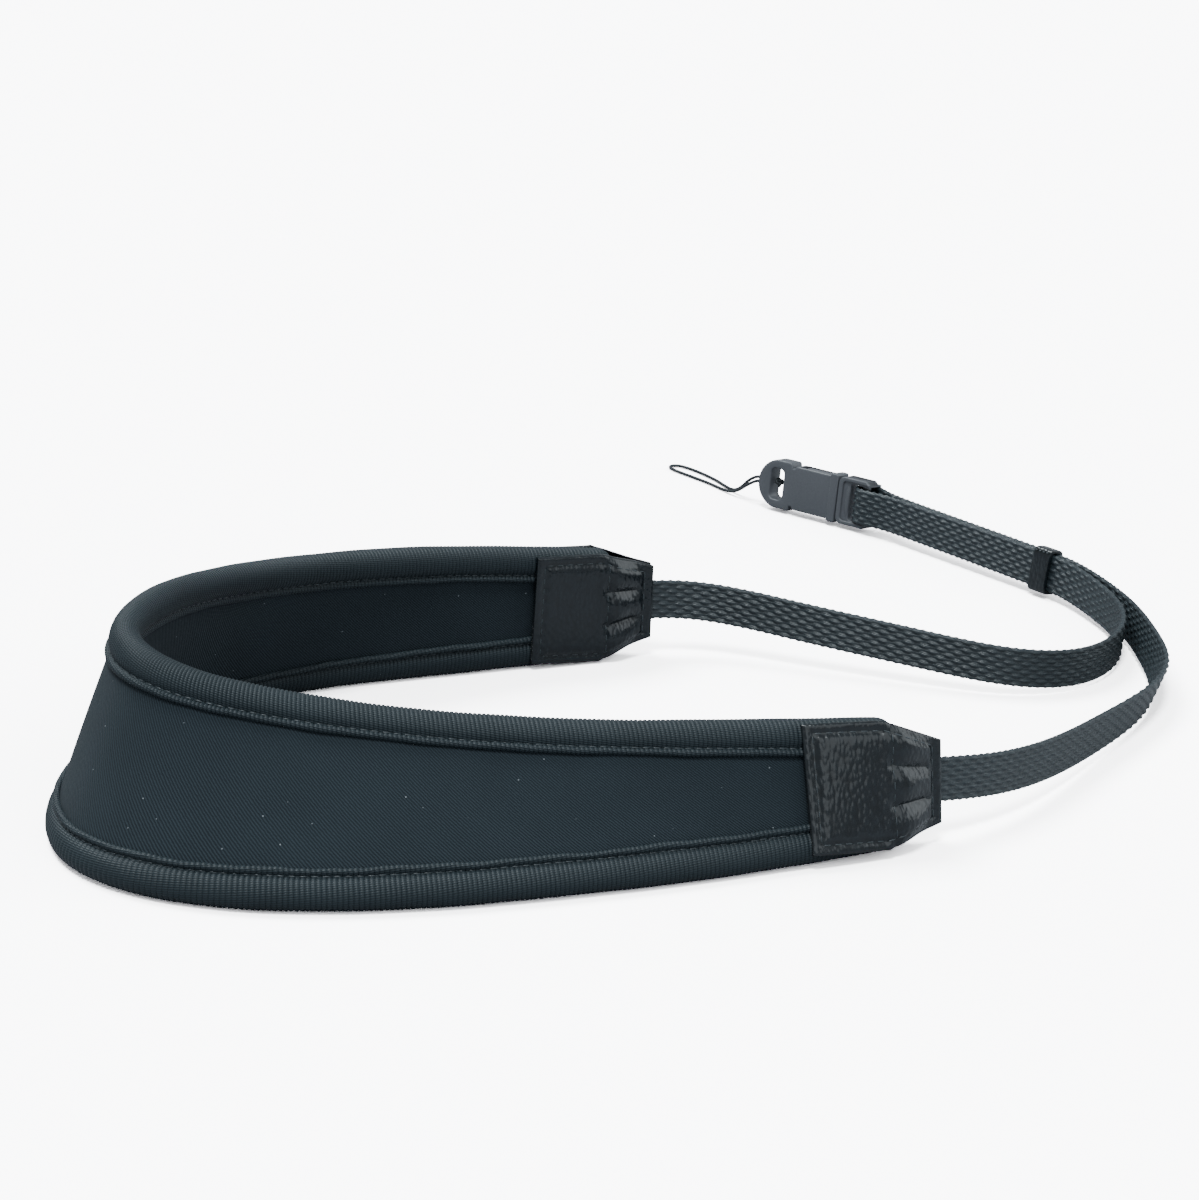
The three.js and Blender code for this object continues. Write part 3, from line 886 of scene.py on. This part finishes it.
    def build_stitches(self, face: Face, label: str) -> None:
        """Builds the border, seam and rib stitches of one patch.

        Args:
            face: the face of the strap that it lies on.
            label: the face's word in the piece's name.
        """
        name = f"{self.name}_{label}_stitches"
        seam = Stitching(name, "leather", pitch=2.5, length=1.8, width=0.4, height=0.34)
        count = self.stitch_samples
        far = self.taper - self.border
        long = np.linspace(self.border - self.field, far, count)
        inset = 1 - self.border / self.half_at(long)
        wide = np.linspace(-1, 1, count) * (1 - self.border / self.half)
        ribs = np.linspace(1.8, self.rib_end, count)
        lines = [(long, inset), (long, -inset)]
        lines += [(np.full(count, at), wide * factor) for at, factor in
                  ((self.border - self.field, 1.0), (self.dip_at, 1.0), (self.rib_end + 0.4, 0.98))]
        lines += [(ribs, np.full(count, edge)) for edge in (-1 / self.ribs, 1 / self.ribs)]
        for past, share in lines:
            path = self.surface(past[:, None], share[:, None], face)[:, 0]
            seam.row(path, ROUTE.frames(self.seam + self.run * past)[2] * face.value)
        seam.build()


# ------------------------------------------------------------------ webbing


@dataclass
class Webbing:
    """One woven webbing, from the near tab round the buckle's bar to the far tab."""

    half: float = 5.0
    body: float = 0.34
    relief: float = 0.52
    rows: int = 9
    samples_per_row: int = 3
    pick: float = 2.1
    samples_per_pick: int = 5
    into_tab: float = 5.5
    scallop: float = 0.16
    edge_round: float = 0.15
    row_share: float = 0.25
    crown_power: float = 0.6

    def build(self) -> None:
        """Builds the weave as one closed skin."""
        start = FAR_SEAM + self.into_tab
        stop = ROUTE.length + NEAR_SEAM - self.into_tab
        s = np.arange(start, stop, self.pick / self.samples_per_pick)
        reach = self.half - self.edge_round
        face = np.linspace(-reach, reach, self.rows * self.samples_per_row + 1)
        across = np.concatenate([face, [self.half], face[::-1], [-self.half], face[:1]])
        side = np.concatenate([np.ones(len(face)), [0], -np.ones(len(face)), [0], [1]])
        width = 2 * reach / self.rows
        place = (np.clip(across, -reach, reach) + reach) / width
        row = np.minimum(np.floor(place - 1e-9), self.rows - 1)
        crown = np.abs(np.sin(math.pi * place)) ** self.crown_power
        phase = s[:, None] * math.pi / self.pick + row * math.pi + (side < 0) * math.pi
        over = np.maximum(np.sin(phase), 0) ** self.crown_power
        lift = self.body + self.relief * crown * (self.row_share + (1 - self.row_share) * over)
        proud = side * lift
        edge = np.abs(across) > reach
        wave = self.scallop * np.sin(s * 2 * math.pi / self.pick)[:, None]
        wide = across + np.sign(across) * edge * wave
        add_piece("webbing_weave", sleeve(s, wide, proud), NYLON, ["webbing"], sharp=80)


# ------------------------------------------------------------------ buckle


def standing_matrix(point: tuple[float, float], rise: float, heading: float, lean: float) -> Matrix:
    """Matrix of a part that stands on the route: x along it, y up, z away from the viewer.

    Args:
        point: plan place in millimetres.
        rise: height of its middle.
        heading: direction in degrees.
        lean: lean in degrees.

    Returns:
        Matrix from millimetres to the frame's metres.
    """
    turn = math.radians(heading)
    tip = math.radians(lean)
    along = Vector((math.cos(turn), math.sin(turn), 0))
    away = Vector((math.sin(turn), -math.cos(turn), 0))
    up = away * math.sin(tip) + Vector((0, 0, 1)) * math.cos(tip)
    depth = along.cross(up)
    place = Vector((*point, rise)) - Vector(FOOTPRINT)
    rows = [[along[k] * MM, up[k] * MM, depth[k] * MM, place[k] * MM] for k in range(3)]
    return Matrix([*rows, [0, 0, 0, 1]])


MITRE_LIMIT = 0.6


def offset(points: Sequence[Point], inset: float) -> list[Point]:
    """Moves a closed outline to its left, which is into the solid.

    Args:
        points: the outline.
        inset: distance to move each side.

    Returns:
        The moved outline, with as many points.
    """
    moved = []
    for k, (x, y) in enumerate(points):
        before = Vector(points[k - 1])
        after = Vector(points[(k + 1) % len(points)])
        here = Vector((x, y))
        first = (here - before).normalized()
        second = (after - here).normalized()
        normal = Vector((-first.y - second.y, first.x + second.x))
        normal = normal.normalized() if normal.length > 1e-6 else Vector((-first.y, first.x))
        stretch = max(MITRE_LIMIT, normal.dot(Vector((-first.y, first.x))))
        moved.append((x + normal.x * inset / stretch, y + normal.y * inset / stretch))
    return moved


def arc(x: float, y: float, radius: float, start: float, stop: float, steps: int = 6) -> list[Point]:
    """Points of an arc, both ends included.

    Args:
        x: first coordinate of its centre.
        y: second coordinate of its centre.
        radius: its radius.
        start: angle of its first point, in degrees.
        stop: angle of its last point, in degrees.
        steps: number of its sides.

    Returns:
        The points, from start to stop.
    """
    angles = np.radians(np.linspace(start, stop, steps + 1))
    return [(x + radius * math.cos(a), y + radius * math.sin(a)) for a in angles]


def add_slab(
    bm: bmesh.types.BMesh, outlines: Sequence[Sequence[Point]], deep: float, soften: float
) -> list[bmesh.types.BMFace]:
    """Adds a slab with softened rims.

    Args:
        bm: mesh to add to.
        outlines: the outer outline anticlockwise, then holes clockwise.
        deep: half of the slab's depth.
        soften: size of the rounding at both rims.

    Returns:
        The faces of its straight side walls.
    """
    turns = [(1 - math.sin(a), 1 - math.cos(a)) for a in np.radians((0, 30, 60, 90))]
    levels = [(soften * far, -deep + soften * low) for far, low in turns]
    levels += [(far, -z) for far, z in reversed(levels)]
    place = bm.verts.layers.int.get("place") or bm.verts.layers.int.new("place")
    flat = [p for outline in outlines for p in outline]
    rings = [[p for outline in outlines for p in offset(outline, far)] for far, _ in levels]
    verts = []
    for k in range(len(flat)):
        vert = bm.verts.new((*rings[0][k], levels[0][1]))
        vert[place] = k
        verts.append(vert)
    edges = []
    first = 0
    for outline in outlines:
        count = len(outline)
        edges += [bm.edges.new((verts[first + k], verts[first + (k + 1) % count])) for k in range(count)]
        first += count
    bmesh.ops.triangle_fill(bm, edges=edges, use_beauty=True, use_dissolve=False)
    walls: list[bmesh.types.BMFace] = []
    for step in range(1, len(levels)):
        grown = bmesh.ops.extrude_edge_only(bm, edges=edges)["geom"]
        edges = [g for g in grown if isinstance(g, bmesh.types.BMEdge)]
        edges = [e for e in edges if all(v in grown for v in e.verts)]
        for vert in (g for g in grown if isinstance(g, bmesh.types.BMVert)):
            vert.co = (*rings[step][vert[place]], levels[step][1])
        if step == len(turns):
            walls = [g for g in grown if isinstance(g, bmesh.types.BMFace)]
    bmesh.ops.triangle_fill(bm, edges=edges, use_beauty=True, use_dissolve=False)
    return walls


@dataclass
class Buckle:
    """Side-release buckle, fastened: a plug on the webbing and a socket with the cord."""

    heading: float = 141.2
    lean: float = 6.0
    rise: float = 7.6
    along: float = 73.5
    deep: float = 2.6
    half: float = 7.0
    soften: float = 0.55
    plug_rear: float = -2.6
    plug_front: float = 8.2
    window_half: float = 5.4
    window_front: float = 4.2
    prong_end: float = 20.5
    socket_rear: float = 8.5
    collar: float = 11.2
    body_end: float = 23.4
    wing: float = 24.6
    end: float = 36.2
    body_half: float = 6.4
    neck_half: float = 5.6
    wing_half: float = 7.1
    side_from: float = 13.4
    side_to: float = 22.2
    side_pocket: float = 1.7
    slot_from: float = 27.4
    slot_to: float = 31.9
    slot_half: float = 4.5
    slot_corner: float = 1.5
    frame_drop: float = 0.55
    rim_wall: float = 1.35
    bar_radius: float = 1.15
    bar_length: float = 11.4
    ridge_size: tuple[float, float, float] = (0.8, 4.7, 0.62)
    ridge_inset: float = 0.75
    prong_span: tuple[float, float] = (4.95, 6.25)
    prong_deep: float = 1.1
    collar_proud: float = 0.12

    def matrix(self) -> Matrix:
        """Matrix of the buckle, from its own millimetres to the frame."""
        return standing_matrix(stack_point(self.along, 0), self.rise, self.heading, self.lean)

    def build(self) -> None:
        """Builds both halves."""
        self.build_plug()
        self.build_socket()

    def finish_mesh(self, bm: bmesh.types.BMesh, name: str, node: str) -> None:
        """Places a half in the frame and makes it a piece.

        Args:
            bm: the half's mesh, in the buckle's own millimetres.
            name: the piece's name.
            node: the CAD node that it stands for.
        """
        bmesh.ops.recalc_face_normals(bm, faces=bm.faces[:])
        bmesh.ops.transform(bm, matrix=self.matrix(), verts=bm.verts[:])
        for face in bm.faces:
            face.smooth = True
        add_piece(name, bm, PLASTIC, [node], sharp=38)

    def plug_outline(self, inset: float, front: float, rear: float) -> list[Point]:
        """Rounded outline of the plug, open at its rear.

        Args:
            inset: width of its side walls.
            front: far end of its window.
            rear: its rear end.

        Returns:
            The outline, anticlockwise.
        """
        half = self.half - 0.15
        corner = 2.0
        side = self.half - inset
        inner = max(0.3, 1.3 - inset * 0.2)
        turn = self.plug_front - corner
        outer = [(rear + 1.6, -half), *arc(turn, -half + corner, corner, -90, 0)]
        outer += [*arc(turn, half - corner, corner, 0, 90), (rear + 1.6, half), (rear, half - 1.4)]
        hollow = [(rear, side), *reversed(arc(front - inner, side - inner, inner, 0, 90, 4))]
        hollow += reversed(arc(front - inner, -side + inner, inner, -90, 0, 4))
        hollow += [(rear, -side), (rear, -half + 1.4)]
        return outer + hollow

    def build_plug(self) -> None:
        """Builds the frame with its raised rim, the bars and the prongs."""
        bm = bmesh.new()
        wall = self.half - self.window_half
        frame_outline = self.plug_outline(wall, self.window_front, self.plug_rear)
        add_slab(bm, [frame_outline], self.deep - self.frame_drop, 0.3)
        rim_outline = self.plug_outline(self.rim_wall, self.plug_front - 1.5, self.plug_rear)
        add_slab(bm, [rim_outline], self.deep, 0.35)
        bmesh.ops.create_cone(
            bm, cap_ends=True, segments=20, radius1=self.bar_radius, radius2=self.bar_radius,
            depth=self.bar_length, matrix=Matrix.Rotation(math.pi / 2, 4, "X"),
        )
        for depth in (-self.deep + self.ridge_inset, self.deep - self.ridge_inset):
            place = Matrix.Translation((self.window_front + self.ridge_inset, 0, depth))
            ridge = place @ Matrix.Diagonal((*self.ridge_size, 1))
            bmesh.ops.create_uvsphere(bm, u_segments=16, v_segments=12, radius=1.0, matrix=ridge)
        root = self.plug_front - 1
        for side in (-1, 1):
            low, high = sorted(side * y for y in self.prong_span)
            corners = [(root, low), (self.prong_end, low), (self.prong_end, high), (root, high)]
            add_slab(bm, [corners], self.prong_deep, 0.2)
        self.finish_mesh(bm, "buckle_plug_body", "buckle_plug")

    def socket_outline(self) -> list[Point]:
        """Outline of the socket's body, wings and rounded head.

        Returns:
            The outline, anticlockwise.
        """
        half_way = [(self.collar - 0.6, self.body_half), (self.side_from, self.body_half)]
        half_way += [(self.side_to, self.body_half), (self.body_end, self.body_half - 0.1)]
        half_way += [(self.body_end + 0.5, self.neck_half), (self.wing, self.neck_half)]
        half_way += [(self.wing + 0.2, self.wing_half - 0.5), (self.wing + 0.7, self.wing_half)]
        middle = self.end - self.wing_half
        head = arc(middle, 0, self.wing_half, 84, -84, 24)
        upper = half_way + head
        lower = [(x, -y) for x, y in reversed(half_way)]
        return list(reversed(upper + lower))

    def slot_outline(self) -> list[Point]:
        """Outline of the cord's slot.

        Returns:
            The outline, clockwise.
        """
        radius = self.slot_corner
        x0, x1, y = self.slot_from + radius, self.slot_to - radius, self.slot_half - radius
        points = arc(x1, y, radius, 0, 90, 5) + arc(x0, y, radius, 90, 180, 5)
        points += arc(x0, -y, radius, 180, 270, 5) + arc(x1, -y, radius, 270, 360, 5)
        return list(reversed(points))

    def build_socket(self) -> None:
        """Builds the body with its slot and side windows, and the collar."""
        bm = bmesh.new()
        walls = add_slab(bm, [self.socket_outline(), self.slot_outline()], self.deep, self.soften)
        for side in (-1, 1):
            # The first side's window takes its wall faces away.
            window = [f for f in walls if f.is_valid and self.in_window(f, side)]
            grown = bmesh.ops.extrude_face_region(bm, geom=window)["geom"]
            bmesh.ops.delete(bm, geom=window, context="FACES_ONLY")
            moved = [g for g in grown if isinstance(g, bmesh.types.BMVert)]
            bmesh.ops.translate(bm, verts=moved, vec=(0, -side * self.side_pocket, 0))
        ring = [(self.socket_rear, -self.half + 0.4), (self.socket_rear + 0.4, -self.half)]
        ring += [(self.collar - 0.5, -self.half), (self.collar, -self.half + 0.5)]
        ring += [(x, -y) for x, y in reversed(ring)]
        add_slab(bm, [ring], self.deep + self.collar_proud, 0.3)
        self.finish_mesh(bm, "buckle_socket_body", "buckle_socket")

    def in_window(self, face: bmesh.types.BMFace, side: int) -> bool:
        """Whether a wall face lies in the window of one side.

        Args:
            face: the wall face.
            side: 1 or -1.

        Returns:
            True if it does.
        """
        middle = face.calc_center_median()
        return self.side_from < middle.x < self.side_to and middle.y * side > self.body_half - 0.2


# ------------------------------------------------------------------ keeper and cord


@dataclass
class Keeper:
    """Leather sleeve round the two webbings, with a short row of stitches."""

    at: float = 3.5
    rise: float = 6.75
    lean: float = 10.0
    length: float = 6.0
    half: float = 6.1
    deep: float = 2.8
    hole_half: float = 5.35
    hole_deep: float = 1.85
    power: float = 0.42
    turns: int = 72
    stitch_samples: int = 20

    def ring(self, half: float, deep: float, turns: np.ndarray) -> np.ndarray:
        """Rounded section of the sleeve.

        Args:
            half: half of its height.
            deep: half of its depth.
            turns: angles round it, in radians.

        Returns:
            Up and depth for each angle.
        """
        up = np.sign(np.sin(turns)) * np.abs(np.sin(turns)) ** self.power * half
        depth = np.sign(np.cos(turns)) * np.abs(np.cos(turns)) ** self.power * deep
        return np.stack([up, depth], axis=1)

    def build(self) -> None:
        """Builds the sleeve and its stitches."""
        turns = np.linspace(0, 2 * math.pi, self.turns + 1)
        outer = self.ring(self.half, self.deep, turns)
        inner = self.ring(self.hole_half, self.hole_deep, turns)
        half = self.length / 2
        profile = [(-half, 1.0), (-half, 0.25), (-half + 0.12, 0.05), (-half + 0.5, 0.0)]
        profile += [(x, 0.0) for x in np.linspace(-half + 1, half - 1, 8)]
        profile += [(-x, share) for x, share in reversed(profile[:4])]
        rows = [
            np.column_stack([np.full(len(turns), x), outer + (inner - outer) * share])
            for x, share in profile
        ]
        rows += [np.column_stack([np.full(len(turns), x), inner]) for x in (0.0, -half)]
        matrix = np.array(standing_matrix(stack_point(self.at, 0), self.rise, STACK_HEADING, self.lean))
        points = np.array(rows) @ matrix[:3, :3].T + matrix[:3, 3]
        girth = section_girth(outer[:, 0], outer[:, 1])
        bm = grid_mesh(points, girth, np.array([x for x, _ in profile] + [0.0, -half]))
        bmesh.ops.remove_doubles(bm, verts=bm.verts[:], dist=WELD)
        bmesh.ops.recalc_face_normals(bm, faces=bm.faces[:])
        add_piece("keeper_sleeve", bm, LEATHER, ["keeper"], sharp=45)
        dots = Stitching("keeper_stitches", "leather", pitch=1.15, length=0.75, width=0.45, height=0.4)
        line = np.linspace(-half + 0.3, half - 0.3, self.stitch_samples)
        local = np.array([(x, self.half - 0.9, -self.deep - 0.02) for x in line])
        path = local @ matrix[:3, :3].T + matrix[:3, 3]
        outward = -matrix[:3, 2] / np.linalg.norm(matrix[:3, 2])
        dots.row(path, np.tile(outward, (self.stitch_samples, 1)))
        dots.build()


@dataclass
class CordLoop:
    """Thin limp cord from the socket's head, laid on the surface, and its knot."""

    diameter: float = 0.9
    knot_at: float = 30.3
    knot_radius: float = 0.36
    knot_thread: float = 0.45
    knot_rise: float = 0.15
    knot_samples: int = 60
    samples: int = 10
    # Points that the cord passes, before the footprint is taken off: x, y, height.
    route: tuple[tuple[float, float, float], ...] = (
        (33.2, 145.3, 8.4), (30.8, 147.2, 8.4), (28.2, 149.4, 7.8), (26.1, 151.8, 5.9), (24.5, 154.3, 3.5),
        (23.0, 157.1, 1.6), (21.5, 160.3, 0.7), (19.8, 164.1, 0.5), (17.8, 168.7, 0.5), (15.2, 173.5, 0.5),
        (12.2, 178.1, 0.5), (9.0, 182.1, 0.5), (6.5, 184.1, 0.5), (4.5, 184.0, 0.5), (3.7, 182.3, 0.5),
        (4.7, 179.7, 0.5), (7.5, 175.9, 0.5), (10.9, 171.7, 0.5), (14.2, 167.5, 0.5), (17.1, 163.3, 0.5),
        (19.6, 159.3, 0.6), (21.8, 155.8, 1.3), (23.8, 152.9, 2.9), (25.8, 150.5, 5.0), (28.2, 148.7, 6.7),
        (30.8, 147.0, 7.3), (33.2, 145.1, 7.3),
    )

    def line(self) -> np.ndarray:
        """Centreline, smoothed through the route's points.

        Returns:
            Points in metres.
        """
        knots = np.array(self.route) - (FOOTPRINT[0], FOOTPRINT[1], 0)
        padded = np.vstack([2 * knots[0] - knots[1], knots, 2 * knots[-1] - knots[-2]])
        points = []
        for k in range(len(knots) - 1):
            a, b, c, d = padded[k : k + 4]
            for t in np.arange(self.samples) / self.samples:
                square = (2 * a - 5 * b + 4 * c - d) * t**2
                cube = (3 * b - a - 3 * c + d) * t**3
                points.append((2 * b + (c - a) * t + square + cube) / 2)
        points.append(knots[-1])
        return np.array(points) * MM

    @staticmethod
    def tube(name: str, points: np.ndarray, radius: float, closed: bool) -> bpy.types.Object:
        """Round curve through points.

        Args:
            name: the piece's name.
            points: places in metres.
            radius: its radius, in millimetres.
            closed: whether its end meets its start.

        Returns:
            The piece.
        """
        curve = bpy.data.curves.new(name, "CURVE")
        curve.dimensions = "3D"
        curve.bevel_depth = radius * MM
        curve.bevel_resolution = 3
        curve.use_fill_caps = True
        spline = curve.splines.new("POLY")
        spline.points.add(len(points) - 1)
        for point, place in zip(spline.points, points):
            point.co = (*place, 1)
        spline.use_cyclic_u = closed
        curve.materials.append(PAINTER.material(CORD_BLACK))
        piece = bpy.data.objects.new(name, curve)
        bpy.context.scene.collection.objects.link(piece)
        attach(piece, "root")
        LOG.info("%s: %d points", name, len(points))
        return piece

    def build(self, buckle: Buckle) -> None:
        """Builds the loop and the knot inside the buckle's slot.

        Args:
            buckle: the buckle that it hangs from.
        """
        line = self.line()
        loop = self.tube("cord_line", line, self.diameter / 2, closed=False)
        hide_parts("cord_loop")
        turns = np.linspace(0, 2 * math.pi, self.knot_samples, endpoint=False)
        trefoil = np.stack([np.sin(turns) + 2 * np.sin(2 * turns), np.cos(turns) - 2 * np.cos(2 * turns),
                            -1.3 * np.sin(3 * turns)], axis=1) * self.knot_radius
        matrix = np.array(buckle.matrix())
        local = trefoil + (self.knot_at, self.knot_rise, 0)
        places = local @ matrix[:3, :3].T + matrix[:3, 3]
        knot = self.tube("cord_knot_lump", places, self.knot_thread, closed=True)
        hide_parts("cord_knot")


# ------------------------------------------------------------------ studio


@dataclass
class Studio:
    """Camera, pale floor and soft lights."""

    camera_place: tuple[float, float, float] = (-0.01228, -0.77733, 0.2716)
    pitch: float = 18.0
    roll: float = 2.2
    lens: float = 100.0
    floor_size: float = 8.0
    sensor: float = 36.0
    clip: tuple[float, float] = (0.05, 30.0)
    floor_drop: float = 0.0001
    # The camera sees a brighter floor than the one that light bounces off.
    floor_colour: Colour = (0.30, 0.31, 0.33, 1)
    floor_seen: Colour = (4.2, 3.95, 3.9, 1)
    sky_colour: Colour = (0.88, 0.94, 1.0, 1)
    sky_strength: float = 0.5
    light_colour: tuple[float, float, float] = (0.9, 0.97, 1.0)
    # Each light's name, the direction it comes from, its strength and its width.
    lights: tuple[tuple[str, tuple[float, float, float], float, float], ...] = (
        ("key", (-0.45, 0.35, 1.0), 3.0, 28.0),
        ("top", (-0.1, -0.42, 1.0), 3.0, 15.0),
        ("front_fill", (0.5, -1.0, 0.8), 0.8, 50.0),
        ("side_fill", (1.0, 0.2, 0.5), 0.9, 45.0),
    )

    def build(self) -> None:
        """Sets up the whole studio."""
        self.build_camera()
        self.build_floor()
        self.build_lights()

    def build_camera(self) -> None:
        """Sets the camera at the strap's three-quarter view."""
        data = bpy.data.cameras.new("camera")
        data.lens = self.lens
        data.sensor_width = self.sensor
        data.clip_start, data.clip_end = self.clip
        camera = bpy.data.objects.new("camera", data)
        bpy.context.scene.collection.objects.link(camera)
        tilt = Matrix.Rotation(math.radians(90 - self.pitch), 4, "X")
        roll = Matrix.Rotation(math.radians(self.roll), 4, "Z")
        camera.matrix_world = Matrix.Translation(self.camera_place) @ tilt @ roll
        bpy.context.scene.camera = camera

    def build_floor(self) -> None:
        """Lays the pale floor, which isn't part of the object."""
        bm = bmesh.new()
        bmesh.ops.create_grid(bm, x_segments=1, y_segments=1, size=self.floor_size / 2)
        mesh = bpy.data.meshes.new("floor")
        bm.to_mesh(mesh)
        bm.free()
        material = bpy.data.materials.new("floor_white")
        material.use_nodes = True
        tree = material.node_tree
        tree.nodes.remove(tree.nodes["Principled BSDF"])
        path = add_node(tree, "LightPath")
        matt = add_node(tree, "BsdfDiffuse")
        seen = Painter.mix(tree, path.outputs["Is Camera Ray"], self.floor_colour, self.floor_seen)
        tree.links.new(seen, matt.inputs["Color"])
        tree.links.new(matt.outputs["BSDF"], tree.nodes["Material Output"].inputs["Surface"])
        mesh.materials.append(material)
        floor = bpy.data.objects.new("floor", mesh)
        floor.location = (0, 0, -self.floor_drop)
        bpy.context.scene.collection.objects.link(floor)

    def build_lights(self) -> None:
        """Hangs two overhead lights and two fills in a pale room."""
        world = bpy.data.worlds.new("room")
        world.use_nodes = True
        backdrop = world.node_tree.nodes["Background"]
        backdrop.inputs["Color"].default_value = self.sky_colour
        backdrop.inputs["Strength"].default_value = self.sky_strength
        bpy.context.scene.world = world
        for light in self.lights:
            self.softbox(*light)

    def softbox(self, name: str, source: tuple[float, float, float], strength: float, spread: float) -> None:
        """Hangs one far, broad light.

        Args:
            name: the light's name.
            source: direction that the light comes from.
            strength: light on a surface that faces it.
            spread: how wide it looks from the strap, in degrees.
        """
        data = bpy.data.lights.new(name, "SUN")
        data.energy = strength
        data.color = self.light_colour
        data.angle = math.radians(spread)
        light = bpy.data.objects.new(name, data)
        bpy.context.scene.collection.objects.link(light)
        light.matrix_world = (-Vector(source)).to_track_quat("-Z", "Y").to_matrix().to_4x4()


def main() -> None:
    """Builds the studio and every piece, in order."""
    logging.basicConfig(level=logging.INFO, format="%(name)s %(message)s")
    studio = Studio()
    studio.build()
    buckle = Buckle()
    CordLoop().build(buckle)
    NeckPad().build()
    EndTab("tab_near", NEAR_SEAM, -1).build()
    EndTab("tab_far", FAR_SEAM, 1).build()
    Webbing().build()
    Keeper().build()
    buckle.build()


if __name__ == "__main__":
    main()
